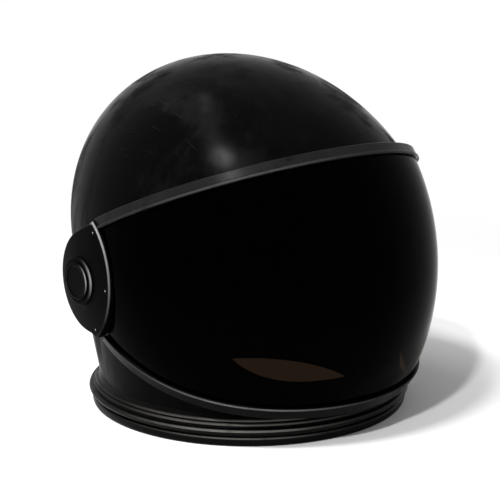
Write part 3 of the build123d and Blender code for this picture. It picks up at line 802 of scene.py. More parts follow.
def levelled(corner_vertex: Points, owner: Points, flat: Points, area: Points, angle: float) -> Points:
    """Corner normals averaged over the faces round each vertex that are nearly level with the corner's own.

    Args:
        corner_vertex: the vertex of each face corner.
        owner: the face of each corner.
        flat: the faces' normals.
        area: the faces' areas, which weigh them.
        angle: how far, in degrees, a neighbour may lean and still count.

    Returns:
        One unit normal for each corner.
    """
    count = np.bincount(corner_vertex)
    first = np.concatenate(([0], np.cumsum(count)[:-1]))
    order = np.argsort(corner_vertex, kind="stable")
    share = count[corner_vertex]
    corner = np.repeat(np.arange(len(corner_vertex)), share)
    step = np.arange(len(corner)) - np.repeat(np.cumsum(share) - share, share)
    face = owner[order[first[corner_vertex[corner]] + step]]
    level = (flat[owner[corner]] * flat[face]).sum(1) > math.cos(math.radians(angle))
    weight = area[face] * level
    weighed = weight * flat[face].T
    total = [np.bincount(corner, weights=row, minlength=len(corner_vertex)) for row in weighed]
    normals = np.column_stack(total)
    return normals / np.maximum(np.linalg.norm(normals, axis=1), NEAR_ZERO)[:, None]


def true_normals(mesh: Mesh, surfaces: Sequence[Surface]) -> int:
    """Gives each face that lies on a known surface that surface's own normals, and evens out the rest.

    Args:
        mesh: a merged mesh, already shaded.
        surfaces: the known surfaces.

    Returns:
        The number of faces that lie on one of the surfaces.
    """
    corner_vertex = read(mesh.loops, "vertex_index", kind=np.int32)
    places = read(mesh.vertices, "co", 3)
    flat = read(mesh.polygons, "normal", 3)
    count = len(mesh.polygons)
    owner = np.repeat(np.arange(count), read(mesh.polygons, "loop_total", kind=np.int32))
    normals = levelled(corner_vertex, owner, flat, read(mesh.polygons, "area"), FACET_ANGLE)
    taken = np.zeros(count, dtype=bool)
    for surface in surfaces:
        distance, slope = surface.gradient(places)
        worst = np.zeros(count)
        np.maximum.at(worst, owner, np.abs(distance[corner_vertex]))
        facing = (slope[corner_vertex] * flat[owner]).sum(1)
        least = np.ones(count)
        np.minimum.at(least, owner, np.abs(facing))
        sign = np.sign(np.bincount(owner, weights=facing, minlength=count))
        chosen = (worst < ON_SURFACE) & (least > LEAST_FACING) & ~taken
        taken |= chosen
        corners = chosen[owner]
        normals[corners] = slope[corner_vertex[corners]] * sign[owner[corners]][:, None]
    mesh.normals_split_custom_set([tuple(row) for row in normals])
    return int(taken.sum())


def mesh_from(name: str, places: Points, faces: Sequence[Sequence[int]]) -> Mesh:
    """A mesh with its doubles merged and its normals turned outward.

    Args:
        name: the mesh's name.
        places: rows of x, y, z.
        faces: the faces, as rows of places.

    Returns:
        The mesh.
    """
    mesh = bpy.data.meshes.new(name)
    mesh.from_pydata([tuple(row) for row in places], [], [tuple(face) for face in faces])
    work = bmesh.new()
    work.from_mesh(mesh)
    bmesh.ops.remove_doubles(work, verts=work.verts, dist=SPECK)
    bmesh.ops.recalc_face_normals(work, faces=work.faces)
    work.to_mesh(mesh)
    work.free()
    return mesh


def mark_wear(mesh: Mesh, amount: Callable[[Points], Points]) -> None:
    """Stores each point's rubbing and painted highlight, from 0 to 1, as amount gives it for rows of points.
    """
    worn_and_lit = np.clip(amount(read(mesh.vertices, "co", 3)), 0, 1)
    mesh.attributes.new(WEAR_AND_HIGHLIGHT, "FLOAT", "POINT").data.foreach_set("value", worn_and_lit.astype(np.float32))


def ring_faces(rows: int, columns: int, around_rows: bool, around_columns: bool) -> list[tuple[int, ...]]:
    """Quads over a grid of points held row by row.

    Args:
        rows: how many rows the grid has.
        columns: how many points each row has.
        around_rows: whether the last row joins the first.
        around_columns: whether each row's last point joins its first.

    Returns:
        The faces.
    """
    faces = []
    for row in range(rows if around_rows else rows - 1):
        here = row * columns
        below = (row + 1) % rows * columns
        for column in range(columns if around_columns else columns - 1):
            after = (column + 1) % columns
            faces.append((here + column, here + after, below + after, below + column))
    return faces


def in_metres(rows: Sequence[Sequence[float]]) -> list[tuple[float, ...]]:
    """Rows of lengths, from millimetres to metres."""
    return [tuple(length * MM for length in row) for row in rows]


def rounded(corners: Sequence[Triple], steps: int = 5) -> Points:
    """A closed outline with each corner rounded.

    Args:
        corners: rows of first place, second place and corner radius.
        steps: points along each rounded corner.

    Returns:
        The outline's points.
    """
    points = []
    count = len(corners)
    for index, (a, b, radius) in enumerate(corners):
        here = np.array([a, b])
        if radius <= 0:
            points.append(here)
            continue
        before = np.array(corners[index - 1][:2]) - here
        after = np.array(corners[(index + 1) % count][:2]) - here
        back = before / np.linalg.norm(before)
        on = after / np.linalg.norm(after)
        half = math.acos(float(np.clip(back @ on, -1, 1))) / 2
        most = MOST_OF_HALF * min(np.linalg.norm(before), np.linalg.norm(after))
        reach = min(radius / math.tan(half), most)
        true_radius = reach * math.tan(half)
        middle = here + (back + on) / np.linalg.norm(back + on) * true_radius / math.sin(half)
        start = here + back * reach - middle
        end = here + on * reach - middle
        for step in range(steps + 1):
            share = step / steps
            spoke = start * (1 - share) + end * share
            points.append(middle + spoke / np.linalg.norm(spoke) * true_radius)
    return np.array(points)


def lathe(name: str, outline: Points, centre: Triple, around: str, steps: int) -> Mesh:
    """Turns an outline of (radius, place along the axis) rows about an axis.

    Args:
        name: the mesh's name.
        outline: a closed outline.
        centre: a point on the axis, where the place along it is 0.
        around: "X" or "Z".
        steps: points round the axis.

    Returns:
        The mesh.
    """
    turns = np.linspace(0, 2 * math.pi, steps, endpoint=False)
    radius = outline[:, 0][:, None]
    along = np.repeat(outline[:, 1][:, None], steps, axis=1)
    first = radius * np.cos(turns)
    second = radius * np.sin(turns)
    grid = (along, first, second) if around == "X" else (first, second, along)
    places = np.stack(grid, axis=-1).reshape(-1, 3) + np.array(centre)
    return mesh_from(name, places, ring_faces(len(outline), steps, True, True))


# Visor, ear plates and screws


@dataclass(frozen=True)
class SideLines:
    """The visor's brow line, its chin arc and the front arc of the ear plates, in side view."""

    brow_height: float = 189.0 * MM
    brow_slope: float = 23.0
    chin_y: float = -187.4 * MM
    chin_z: float = 445.4 * MM
    chin_radius: float = 407.4 * MM
    ear_y: float = 47.6 * MM
    ear_z: float = 138.2 * MM
    ear_radius: float = 66.0 * MM

    def above_brow(self, points: Points) -> Points:
        """How far points lie above the brow line."""
        slope = math.radians(self.brow_slope)
        return points[..., 1] * math.sin(slope) + (points[..., 2] - self.brow_height) * math.cos(slope)

    def above_chin(self, points: Points) -> Points:
        """How far points lie above the chin arc; below it is negative."""
        return self.chin_radius - np.hypot(points[..., 1] - self.chin_y, points[..., 2] - self.chin_z)

    def ahead_of_ear(self, points: Points) -> Points:
        """How far points, or places of the side view, lie outside the ear plate's front arc."""
        return np.hypot(points[..., -2] - self.ear_y, points[..., -1] - self.ear_z) - self.ear_radius


LINES = SideLines()

# The painted highlight on the crests is brightest at the heading below, counted from straight ahead.
HIGHLIGHT_HEADING = -43.0
HIGHLIGHT_FALL = 8

# In radians: how far up and down a strip is looked for, between which turns it meets an ear plate, and
# how much of a sine spaces its columns, closer together towards the ears.
LIFT_LIMIT = 1.3
EAR_TURNS = (0.8, 1.9)
COLUMN_SPREAD = math.pi / 2 * 0.72


def front_left(points: Points, rest: float, most: float) -> Points:
    """A painted highlight, strongest at the front left and falling off round it, over a little even rubbing.

    Args:
        points: rows of x, y, z.
        rest: the even rubbing, away from the front left.
        most: the painted highlight at the front left.

    Returns:
        The rubbing and painted highlight of each point.
    """
    facing = math.radians(HIGHLIGHT_HEADING)
    reach = np.maximum(np.hypot(points[:, 0], points[:, 1]), MM)
    turned = (points[:, 0] * math.sin(facing) - points[:, 1] * math.cos(facing)) / reach
    return rest + (most - rest) * np.clip(turned, 0, 1) ** HIGHLIGHT_FALL


def solve(value: Callable[[Points], Points], low: float, high: float, count: int, rounds: int = 40) -> Points:
    """Bisects for where rising functions of an angle are 0.

    Args:
        value: gives the functions' values at one angle each.
        low: an angle below all the results.
        high: an angle above them.
        count: how many functions there are.
        rounds: how many times the range is halved.

    Returns:
        One angle for each function.
    """
    lows, highs = np.full(count, low), np.full(count, high)
    for _ in range(rounds):
        middle = (lows + highs) / 2
        over = value(middle) > 0
        highs = np.where(over, middle, highs)
        lows = np.where(over, lows, middle)
    return (lows + highs) / 2


def on_line(form: Spheroid, line: Callable[[Points], Points], height: float, turn: Points) -> Points:
    """A spheroid's points at turns in radians from straight ahead, at one height above a side-view line."""
    lifts = solve(lambda lift: line(form.at(turn, lift)) - height, -LIFT_LIMIT, LIFT_LIMIT, len(turn))
    return form.at(turn, lifts)


def strip(
    name: str, form: Spheroid, line: Callable[[Points], Points], section: Points, columns: int, gap: float
) -> Mesh:
    """Sweeps a section along a line round the front of a spheroid, from one ear plate to the other.

    Args:
        name: the mesh's name.
        form: the spheroid that the strip lies on.
        line: distance of points above the line, in side view.
        section: closed outline of (distance above the line, rise over the spheroid) rows.
        columns: points from ear to ear.
        gap: clearance to the ear plate's front arc.

    Returns:
        The mesh, closed at both ends.
    """
    rows = []
    for height, rise in section:
        raised = form.grown(rise)
        end = solve(
            lambda turn: gap - LINES.ahead_of_ear(on_line(raised, line, height, turn)), *EAR_TURNS, 1
        )
        turns = np.sin(np.linspace(-1, 1, columns) * COLUMN_SPREAD) / math.sin(COLUMN_SPREAD) * end
        rows.append(on_line(raised, line, height, turns))
    count = len(section)
    faces = ring_faces(count, columns, True, False)
    faces.append(tuple(row * columns for row in range(count)))
    faces.append(tuple(row * columns + columns - 1 for row in reversed(range(count))))
    return mesh_from(name, np.array(rows).reshape(-1, 3), faces)


@dataclass
class VisorFrame:
    """The lens and the two metal strips along its edges."""

    lens_wall: float = 2.5 * MM
    face: float = 2.2 * MM
    bead: float = 3.4 * MM
    bead_width: float = 2.8 * MM
    brow_width: float = 11.0 * MM
    brow_ledge: float = -3.7 * MM
    chin_width: float = 12.0 * MM
    chin_ledge: float = -5.0 * MM
    ledge: float = 2.2 * MM
    seat: float = 0.06 * MM
    ear_gap: float = 0.08 * MM
    sharp: float = 0.3 * MM
    soft: float = 0.9 * MM
    bead_edge: float = 1.08 * MM
    bead_foot: float = 0.35 * MM
    crest: float = 0.2 * MM
    # The brow's rest value is a little real rubbing over its face; each crest pair is a little rubbing all
    # round and a painted highlight at the front left.
    brow_rest_wear: float = 0.035
    brow_crest_wear: Pair = (0.02, 0.16)
    chin_crest_wear: Pair = (0.03, 0.6)
    columns: int = 180
    shade_angle: float = 40.0

    def section(self, width: float, ledge: float, way: int) -> Points:
        """A strip's section: bead on the lens side, flat face, and a ledge turned in at the far edge.

        Args:
            width: the strip's width.
            ledge: where the ledge ends, as a rise over the lens; below it is negative.
            way: 1 when the strip lies above its line, -1 when below.

        Returns:
            The closed outline.
        """
        corners = [
            (0.0, self.seat, self.sharp),
            (0.0, self.bead, self.bead_edge),
            (self.bead_width, self.bead, self.soft),
            (self.bead_width + self.bead_foot, self.face, self.bead_foot),
            (width, self.face, self.soft),
            (width, ledge, self.sharp),
            (width - self.ledge, ledge, self.sharp),
            (width - self.ledge, self.seat, self.sharp),
        ]
        outline = rounded(corners)
        outline[:, 0] *= way
        return outline

    def crest_share(self, rise: Points) -> Points:
        """How far points belong to the bead's crest, from 0 to 1."""
        return np.clip((rise - self.bead + self.crest) / self.crest, 0, 1)

    def brow_wear(self, points: Points) -> Points:
        """The brow strip's paint: a little rubbing all over its face, and a painted highlight along the bead's
        crest, strongest at the front left.

        Args:
            points: rows of x, y, z.

        Returns:
            The rubbing and painted highlight of each point.
        """
        rise, _ = BUBBLE.gradient(points)
        worn_and_lit = self.brow_rest_wear + self.crest_share(rise) * front_left(points, *self.brow_crest_wear)
        return np.where(rise > self.face - self.crest, worn_and_lit, 0.0)

    def chin_wear(self, points: Points) -> Points:
        """Along the crest of the chin strip's bead, a little rubbing and a painted highlight, strongest on the
        front left.
        """
        rise, _ = BUBBLE.gradient(points)
        return self.crest_share(rise) * front_left(points, *self.chin_crest_wear)

    def build(self) -> list[Piece]:
        """Builds the lens and both strips.

        Returns:
            The pieces.
        """
        lens = merged_copy("visor_lens", "visor_bubble")
        shade(lens)
        true_normals(lens, (BUBBLE, BUBBLE.grown(-self.lens_wall)))
        pieces = [new_piece("visor_bubble", lens, Body.VISOR, Slot.LENS, ["visor_lens"])]
        above = self.section(self.brow_width, self.brow_ledge, 1)
        below = self.section(self.chin_width, self.chin_ledge, -1)
        for name, node, line, section, worn_and_lit in (
            ("brow_strip", "brow_band", LINES.above_brow, above, self.brow_wear),
            ("chin_strip", "chin_band", LINES.above_chin, below, self.chin_wear),
        ):
            mesh = strip(name, BUBBLE, line, section, self.columns, self.ear_gap)
            shade(mesh, self.shade_angle)
            mark_wear(mesh, worn_and_lit)
            mesh.materials.append(STRIP_PAINT.material())
            pieces.append(new_piece(name, mesh, Body.VISOR, Slot.FRAME, [node]))
        return pieces


@dataclass
class EarPlate:
    """One ear plate with its raised front lip and its screws.

    Angles on its front arc are counted up from straight ahead. The rows of the pad's edge are radius and
    drop below the pad's face.
    """

    side: Side
    top_angle: float = 57.0
    bottom_angle: float = -52.0
    corner_angle: float = 4.0
    front_points: int = 44
    rear_points: int = 48
    under_shares: Pair = (0.2, 0.6)
    over_shares: Pair = (0.4, 0.8)
    rear_back: float = 10.0 * MM
    rear_radius: float = 48.0 * MM
    face_y: float = 16.0 * MM
    face_z: float = 138.0 * MM
    face_x: float = 176.9 * MM
    curve: float = 250.0 * MM
    half_height: float = 270.0 * MM
    rim_x: float = 166.2 * MM
    lens_room: float = 0.12 * MM
    wall: float = 2.5 * MM
    edge: float = 1.1 * MM
    edge_rows: int = 6
    lip_rise: float = 1.3 * MM
    lip_width: float = 3.4 * MM
    lip_ease: float = 0.35 * MM
    face_insets_mm: tuple[float, ...] = (1.7, 2.5, 2.95, 3.15, 3.35, 3.55, 3.75, 4.1, 5.0, 6.5)
    bridge_shares: tuple[float, ...] = (0.25, 0.5, 0.75, 1.0)
    back_insets_mm: tuple[float, ...] = (8.0, 4.0, 2.5)
    pad_radius: float = 24.0 * MM
    pad_foot: float = 0.6 * MM
    pad_x: float = 177.0 * MM
    pad_back_x: float = 166.95 * MM
    pad_edge_mm: tuple[Pair, ...] = ((24.1, 1.0), (24.0, 0.5), (23.75, 0.15))
    pad_face_mm: Pair = (23.3, 20.0)
    least_rise: float = 0.05 * MM
    bore: float = 8.0 * MM
    screw_arc: float = 59.0 * MM
    screw_angles: tuple[float, ...] = (50.0, -4.0, -49.0)
    screw_sink: float = 0.7 * MM
    shade_angle: float = 38.0
    # The lip's painted highlight: the height where it starts, the height over which it grows, its least share,
    # its fall-off, and its gain, start and width.
    worn_from: float = 95.0 * MM
    worn_over: float = 90.0 * MM
    least_wear: float = 0.08
    wear_fall: float = 1.3
    wear_gain: float = 1.8
    wear_start: float = 0.6
    wear_width: float = 2.4 * MM

    def front_place(self, radius: float, angle: float) -> Points:
        """A place on an arc about the front arc's centre, angle up from straight ahead."""
        turn = math.radians(angle)
        return np.array([LINES.ear_y - radius * math.cos(turn), LINES.ear_z + radius * math.sin(turn)])

    @property
    def rear(self) -> Points:
        """The middle of the rear arc."""
        return PIVOT + np.array([-self.rear_back, 0.0])

    def rear_place(self, turn: float) -> Points:
        """A place on the rear arc, at a turn in radians up from straight back."""
        return self.rear + self.rear_radius * np.array([math.cos(turn), math.sin(turn)])

    def tangent(self, corner: Points, way: int) -> float:
        """The rear arc's turn, in radians, where a line from a corner meets it over (1) or under it (-1)."""
        reach = corner - self.rear
        return math.atan2(reach[1], reach[0]) - way * math.acos(self.rear_radius / float(np.hypot(*reach)))

    def outline(self) -> Points:
        """The plate's outline, from the top corner down the front arc, under and round the back.

        Returns:
            Rows of y, z.
        """
        top = self.front_place(LINES.ear_radius, self.top_angle)
        bottom = self.front_place(LINES.ear_radius, self.bottom_angle)
        start, end = self.tangent(bottom, -1), self.tangent(top, 1)
        low, high = self.rear_place(start), self.rear_place(end)
        first = self.top_angle - self.corner_angle
        last = self.bottom_angle + self.corner_angle
        angles = np.linspace(first, last, self.front_points)
        points = [top]
        points += [self.front_place(LINES.ear_radius, angle) for angle in angles]
        points.append(bottom)
        points += [bottom + (low - bottom) * share for share in self.under_shares]
        points += [self.rear_place(turn) for turn in np.linspace(start, end, self.rear_points)]
        points += [high + (top - high) * share for share in self.over_shares]
        return np.array(points)

    @staticmethod
    def inset(points: Points, amount: float) -> Points:
        """The outline drawn in, with its corners kept.

        Args:
            points: the closed outline.
            amount: how far it is drawn in.

        Returns:
            The smaller outline, point by point.
        """
        before = points - np.roll(points, 1, axis=0)
        after = np.roll(points, -1, axis=0) - points
        before /= np.linalg.norm(before, axis=1)[:, None]
        after /= np.linalg.norm(after, axis=1)[:, None]
        first = np.stack([-before[:, 1], before[:, 0]], axis=1)
        second = np.stack([-after[:, 1], after[:, 0]], axis=1)
        across = first + second
        across /= np.linalg.norm(across, axis=1)[:, None]
        return points + across * (amount / (across * first).sum(1))[:, None]

    def face(self, places: Points) -> Points:
        """Distance of the plate's face from the middle plane."""
        level = self.curve * np.sqrt(1 - ((places[:, 1] - self.face_z) / self.half_height) ** 2)
        return self.face_x - self.curve + np.sqrt(level**2 - (places[:, 0] - self.face_y) ** 2)

    def lipped(self, places: Points) -> Points:
        """The face with its raised lip along the front arc.

        Args:
            places: rows of y, z.

        Returns:
            Distances from the middle plane.
        """
        inside = self.lip_width + self.lip_ease + LINES.ahead_of_ear(places)
        share = np.clip(inside / (2 * self.lip_ease), 0, 1)
        return self.face(places) + self.lip_rise * share * share * (3 - 2 * share)

    def lens_top(self, places: Points) -> Points:
        """The level just over the lens, which the plate's underside may come down to.

        Args:
            places: rows of y, z.

        Returns:
            Distances from the middle plane.
        """
        form = BUBBLE.grown(self.lens_room)
        away = np.stack([np.zeros(len(places)), places[:, 0], places[:, 1]], axis=1) - form.centre
        along = away @ form.axis / form.half_length
        across = away @ form.ahead / form.radius
        return form.radius * np.sqrt(np.clip(1 - along**2 - across**2, 0, 1))

    def rings(self) -> list[Points]:
        """The plate's rings of points, from its rim over the face to the bore and back inside.

        Returns:
            For each ring rows of x, y, z, all as long as the outline.
        """
        edge = self.outline()
        rings: list[Points] = []

        def ring(places: Points, reach: Union[Points, float]) -> None:
            """Adds a ring of points at distances from the middle plane."""
            rings.append(np.column_stack([np.broadcast_to(reach, len(places)), places]))

        ring(edge, np.maximum(self.rim_x, self.lens_top(edge)))
        for turn in np.linspace(0, math.pi / 2, self.edge_rows):
            places = self.inset(edge, self.edge * (1 - math.cos(turn)))
            ring(places, self.lipped(places) - self.edge * (1 - math.sin(turn)))
        for amount in self.face_insets_mm:
            places = self.inset(edge, amount * MM)
            ring(places, self.lipped(places))
        last = places
        spokes = last - PIVOT
        spokes /= np.linalg.norm(spokes, axis=1)[:, None]
        foot = PIVOT + spokes * (self.pad_radius + self.pad_foot)
        for share in self.bridge_shares:
            places = last * (1 - share) + foot * share
            ring(places, self.face(places))
        for radius, drop in self.pad_edge_mm:
            places = PIVOT + spokes * radius * MM
            ring(places, np.maximum(self.face(places) + self.least_rise, self.pad_x - drop * MM))
        for radius in self.pad_face_mm:
            ring(PIVOT + spokes * radius * MM, self.pad_x)
        bore_rows = (self.bore, self.pad_x), (self.bore, self.pad_back_x), (self.pad_radius, self.pad_back_x)
        for radius, reach in bore_rows:
            ring(PIVOT + spokes * radius, reach)
        places = PIVOT + spokes * self.pad_radius
        ring(places, self.face(places) - self.wall)
        for amount in self.back_insets_mm:
            places = self.inset(edge, amount * MM)
            ring(places, np.maximum(self.face(places) - self.wall, self.lens_top(places)))
        ring(places, np.maximum(self.rim_x, self.lens_top(places)))
        return rings

    def plate_mesh(self) -> Mesh:
        """The plate as one closed band of rings.

        Returns:
            The mesh.
        """
        grid = np.array(self.rings())
        grid[..., 0] *= self.side.value
        faces = ring_faces(grid.shape[0], grid.shape[1], True, True)
        mesh = mesh_from(f"ear_face_{self.side.word}", grid.reshape(-1, 3), faces)
        shade(mesh, self.shade_angle)
        mark_wear(mesh, self.lip_wear)
        return mesh

    def lip_wear(self, points: Points) -> Points:
        """A painted highlight along the crest of the front lip, strongest at the top.

        Args:
            points: rows of x, y, z.

        Returns:
            The wear of each point.
        """
        places = points[:, 1:]
        over = (np.abs(points[:, 0]) - self.face(places)) / self.lip_rise
        # The painted highlight grows towards the top of the lip.
        high = np.clip((places[:, 1] - self.worn_from) / self.worn_over, self.least_wear, 1) ** self.wear_fall
        near = LINES.ahead_of_ear(places) > -self.wear_width
        return np.clip(over * self.wear_gain - self.wear_start, 0, 1) * high * near

    def screws(self) -> "RepeatedScrews":
        """The three screws along the plate's front edge.

        Returns:
            The screws, not built yet.
        """
        places = np.array([self.front_place(self.screw_arc, angle) for angle in self.screw_angles])
        heads = np.column_stack([(self.face(places) - self.screw_sink) * self.side.value, places])
        return RepeatedScrews(
            name=f"ear_screws_{self.side.word}", points=heads, axis=(float(self.side.value), 0.0, 0.0),
            head_radius=2.4 * MM, head_height=1.5 * MM, shank_radius=1.5 * MM, shank_length=8.5 * MM,
            finish=BLACK_SCREW,
        )

    def build(self) -> list[Piece]:
        """Builds the plate, its cap and its screws.

        Returns:
            The pieces.
        """
        word = self.side.word
        return [
            new_piece(f"ear_face_{word}", self.plate_mesh(), Body.VISOR, Slot.FRAME, [f"ear_plate_{word}"]),
            HubCap(self.side).build(),
            self.screws().build(Body.VISOR, [f"ear_plate_screws_{word}"]),
        ]


@dataclass
class HubCap:
    """One hub cap: a wide disc, a groove and a smaller raised disc, all with rounded edges.

    The corners are rows of radius, height over the foot and rounding. The highlit edges are rows of radius,
    half width, least distance from the middle plane, and the strength of the painted highlight there.
    """

    side: Side
    foot: float = 177.15 * MM
    corners_mm: tuple[Triple, ...] = (
        (13.95, 0.0, 0.0), (22.5, 0.0, 0.2), (22.5, 1.9, 0.9), (19.2, 1.9, 0.5), (18.2, 1.2, 0.5),
        (17.5, 1.4, 0.3), (17.3, 4.0, 1.3), (14.6, 4.0, 0.7), (13.6, 3.45, 0.7), (0.001, 3.5, 0.0),
        (0.001, 2.8, 0.0), (13.95, 2.8, 0.0),
    )
    steps: int = 96
    shade_angle: float = 38.0
    wear_heading: float = 15.0
    wear_fall: int = 6
    worn_edges: tuple[tuple[float, float, float, float], ...] = (
        (22.0 * MM, 0.48 * MM, 178.3 * MM, 0.8), (16.7 * MM, 0.55 * MM, 180.0 * MM, 0.9),
    )

    def wear(self, points: Points) -> Points:
        """A painted highlight on the two round edges, where they face forward.

        Args:
            points: rows of x, y, z.

        Returns:
            The wear of each point.
        """
        away = points[:, 1:] - PIVOT
        radius = np.hypot(away[:, 0], away[:, 1])
        aim = math.radians(self.wear_heading)
        facing = (away[:, 1] * math.sin(aim) - away[:, 0] * math.cos(aim)) / np.maximum(radius, MM)
        worn_and_lit = np.zeros(len(points))
        for middle, half_width, level, most in self.worn_edges:
            worn_and_lit += most * ((np.abs(radius - middle) < half_width) & (np.abs(points[:, 0]) > level))
        return worn_and_lit * np.clip(facing, 0, 1) ** self.wear_fall

    def build(self) -> Piece:
        """Builds the cap.

        Returns:
            The piece.
        """
        word = self.side.word
        outline = rounded(in_metres(self.corners_mm))
        outline[:, 1] = (outline[:, 1] + self.foot) * self.side.value
        mesh = lathe(f"hub_disc_{word}", outline, (0.0, *PIVOT), "X", self.steps)
        shade(mesh, self.shade_angle)
        mark_wear(mesh, self.wear)
        return new_piece(f"hub_disc_{word}", mesh, Body.VISOR, Slot.FRAME, [f"hub_cap_{word}"])


@dataclass
class RepeatedScrews:
    """Domed screws set at points by a Geometry Nodes tree, then kept as a plain mesh.

    The recess is given as shares of the head's radius and height, and the dome runs between two turns in
    radians up from its rim.
    """

    name: str
    points: Points
    axis: Triple
    head_radius: float
    head_height: float
    shank_radius: float
    shank_length: float
    finish: Finish = STEEL
    rim_share: float = 0.35
    dome_turns: Pair = (0.2, 1.25)
    dome_rows: int = 6
    recess_shares: tuple[Pair, ...] = ((0.28, 0.97), (0.22, 0.55), (0.0, 0.5))
    worn_share: float = 0.3
    sides: int = 32

    def recess_wear(self, points: Points) -> Points:
        """Full share in and round the recess, none elsewhere: a painted glint on the black screws, a slightly
        darker recess on the steel ones.
        """
        radius = np.hypot(points[:, 0], points[:, 1])
        return (radius < self.head_radius * self.worn_share) & (points[:, 2] > 0)

    def one_screw(self) -> Piece:
        """A single screw along +Z, its head's underside at 0, with a round recess.

        Returns:
            The screw.
        """
        head, top = self.head_radius, self.head_height
        outline = [(0.0, -self.shank_length), (self.shank_radius, -self.shank_length)]
        outline += [(self.shank_radius, 0.0), (head, 0.0), (head, top * self.rim_share)]
        for turn in np.linspace(*self.dome_turns, self.dome_rows):
            lift = self.rim_share + (1 - self.rim_share) * math.sin(turn)
            outline.append((head * math.cos(turn), top * lift))
        outline += [(head * reach, top * lift) for reach, lift in self.recess_shares]
        turns = np.linspace(0, 2 * math.pi, self.sides, endpoint=False)
        places = [(r * math.cos(turn), r * math.sin(turn), z) for r, z in outline for turn in turns]
        faces = ring_faces(len(outline), self.sides, False, True)
        mesh = mesh_from(f"{self.name}_one", np.array(places), faces)
        shade(mesh)
        mark_wear(mesh, self.recess_wear)
        mesh.materials.append(self.finish.material())
        return linked(f"{self.name}_one", mesh)

    def tree(self, screw: Piece) -> Tree:
        """Builds the tree that sets a copy of the screw on every point.

        Args:
            screw: the screw to copy.

        Returns:
            The tree.
        """
        tree = bpy.data.node_groups.new(f"{self.name}_set", "GeometryNodeTree")
        for label, kind in (("Geometry", "Geometry"), ("Screw Scale", "Float"), ("Turn", "Vector")):
            tree.interface.new_socket(label, in_out="INPUT", socket_type=f"NodeSocket{kind}")
        tree.interface.new_socket("Geometry", in_out="OUTPUT", socket_type="NodeSocketGeometry")
        given = tree.nodes.new("NodeGroupInput")
        made = tree.nodes.new("NodeGroupOutput")
        info = tree.nodes.new("GeometryNodeObjectInfo")
        info.inputs["Object"].default_value = screw
        place = tree.nodes.new("GeometryNodeInstanceOnPoints")
        real = tree.nodes.new("GeometryNodeRealizeInstances")
        paint = tree.nodes.new("GeometryNodeSetMaterial")
        paint.inputs["Material"].default_value = self.finish.material()
        for source, output, target, entry in (
            (given, "Geometry", place, "Points"), (info, "Geometry", place, "Instance"),
            (given, "Turn", place, "Rotation"), (given, "Screw Scale", place, "Scale"),
            (place, "Instances", real, "Geometry"), (real, "Geometry", paint, "Geometry"),
            (paint, "Geometry", made, "Geometry"),
        ):
            tree.links.new(source.outputs[output], target.inputs[entry])
        return tree

    def build(self, body: Body, nodes: Sequence[str]) -> Piece:
        """Runs the tree once and links its result.

        Args:
            body: the body that the screws ride on.
            nodes: the CAD nodes that they stand for.

        Returns:
            The screws as one piece.
        """
        screw = self.one_screw()
        carrier = linked(f"{self.name}_points", mesh_from(f"{self.name}_points", self.points, []))
        tree = self.tree(screw)
        modifier = carrier.modifiers.new("Set screws", "NODES")
        modifier.node_group = tree
        turn = Vector((0, 0, 1)).rotation_difference(Vector(self.axis)).to_euler()
        settings = {"Screw Scale": 1.0, "Turn": tuple(turn)}
        for socket in tree.interface.items_tree:
            if socket.name in settings:
                modifier[socket.identifier] = settings[socket.name]
        mesh = carried_out(carrier)
        mesh.name = self.name
        carrier.modifiers.clear()
        bpy.data.objects.remove(carrier)
        bpy.data.objects.remove(screw)
        return new_piece(self.name, mesh, body, Slot.STEEL, nodes)


# Shell, rings and pads


@dataclass
class Shell:
    """The domed shell, with true normals over its facets."""

    wall: float = 4.0 * MM

    def build(self) -> list[Piece]:
        """Builds the shell.

        Returns:
            Its piece, in a list.
        """
        mesh = merged_copy("shell", "dome_shell")
        shade(mesh)
        front = TurnedFront()
        known = true_normals(mesh, (DOME, DOME.grown(-self.wall), front, front.grown(-self.wall)))
        LOG.info("dome_shell: %d of %d faces on known forms", known, len(mesh.polygons))
        return [new_piece("dome_shell", mesh, Body.HELMET, Slot.SHELL, ["shell"])]


@dataclass(frozen=True)
class RingForm:
    """One turned ring; its corners are rows of radius, height and rounding."""

    name: str
    node: str
    slot: Slot
    corners_mm: tuple[Triple, ...]


RING_FORMS = (
    RingForm("neck_ring_turned", "neck_ring", Slot.RING, (
        (113.0, 9.6, 0.4), (153.2, 9.6, 0.5), (153.6, 11.4, 0.4), (157.4, 11.4, 1.6), (158.8, 14.0, 1.6),
        (157.4, 16.8, 1.6), (153.6, 16.9, 0.5), (153.2, 18.1, 0.5), (154.0, 18.6, 0.5), (153.9, 20.2, 0.7),
        (151.7, 20.8, 0.4), (152.0, 21.5, 0.4), (152.4, 22.1, 0.5), (151.9, 23.4, 0.7), (149.6, 24.1, 0.4),
        (147.5, 28.0, 0.6), (113.0, 28.0, 0.3),
    )),
    RingForm("gasket_turned", "ring_gasket", Slot.RUBBER, (
        (117.0, 8.2, 0.1), (151.5, 8.2, 0.5), (151.5, 9.6, 0.5), (117.0, 9.6, 0.1),
    )),
    RingForm("neck_trim_turned", "neck_trim", Slot.RUBBER, (
        (110.25, 0.0, 0.8), (112.95, 0.0, 0.8), (112.95, 32.05, 0.1), (119.0, 32.05, 0.5),
        (119.0, 33.65, 0.7), (110.25, 33.65, 1.2),
    )),
    RingForm("base_ring_turned", "base_ring", Slot.RING, (
        (113.0, 0.0, 0.6), (155.5, 0.0, 2.6), (155.5, 8.2, 2.4), (113.0, 8.2, 0.3),
    )),
)


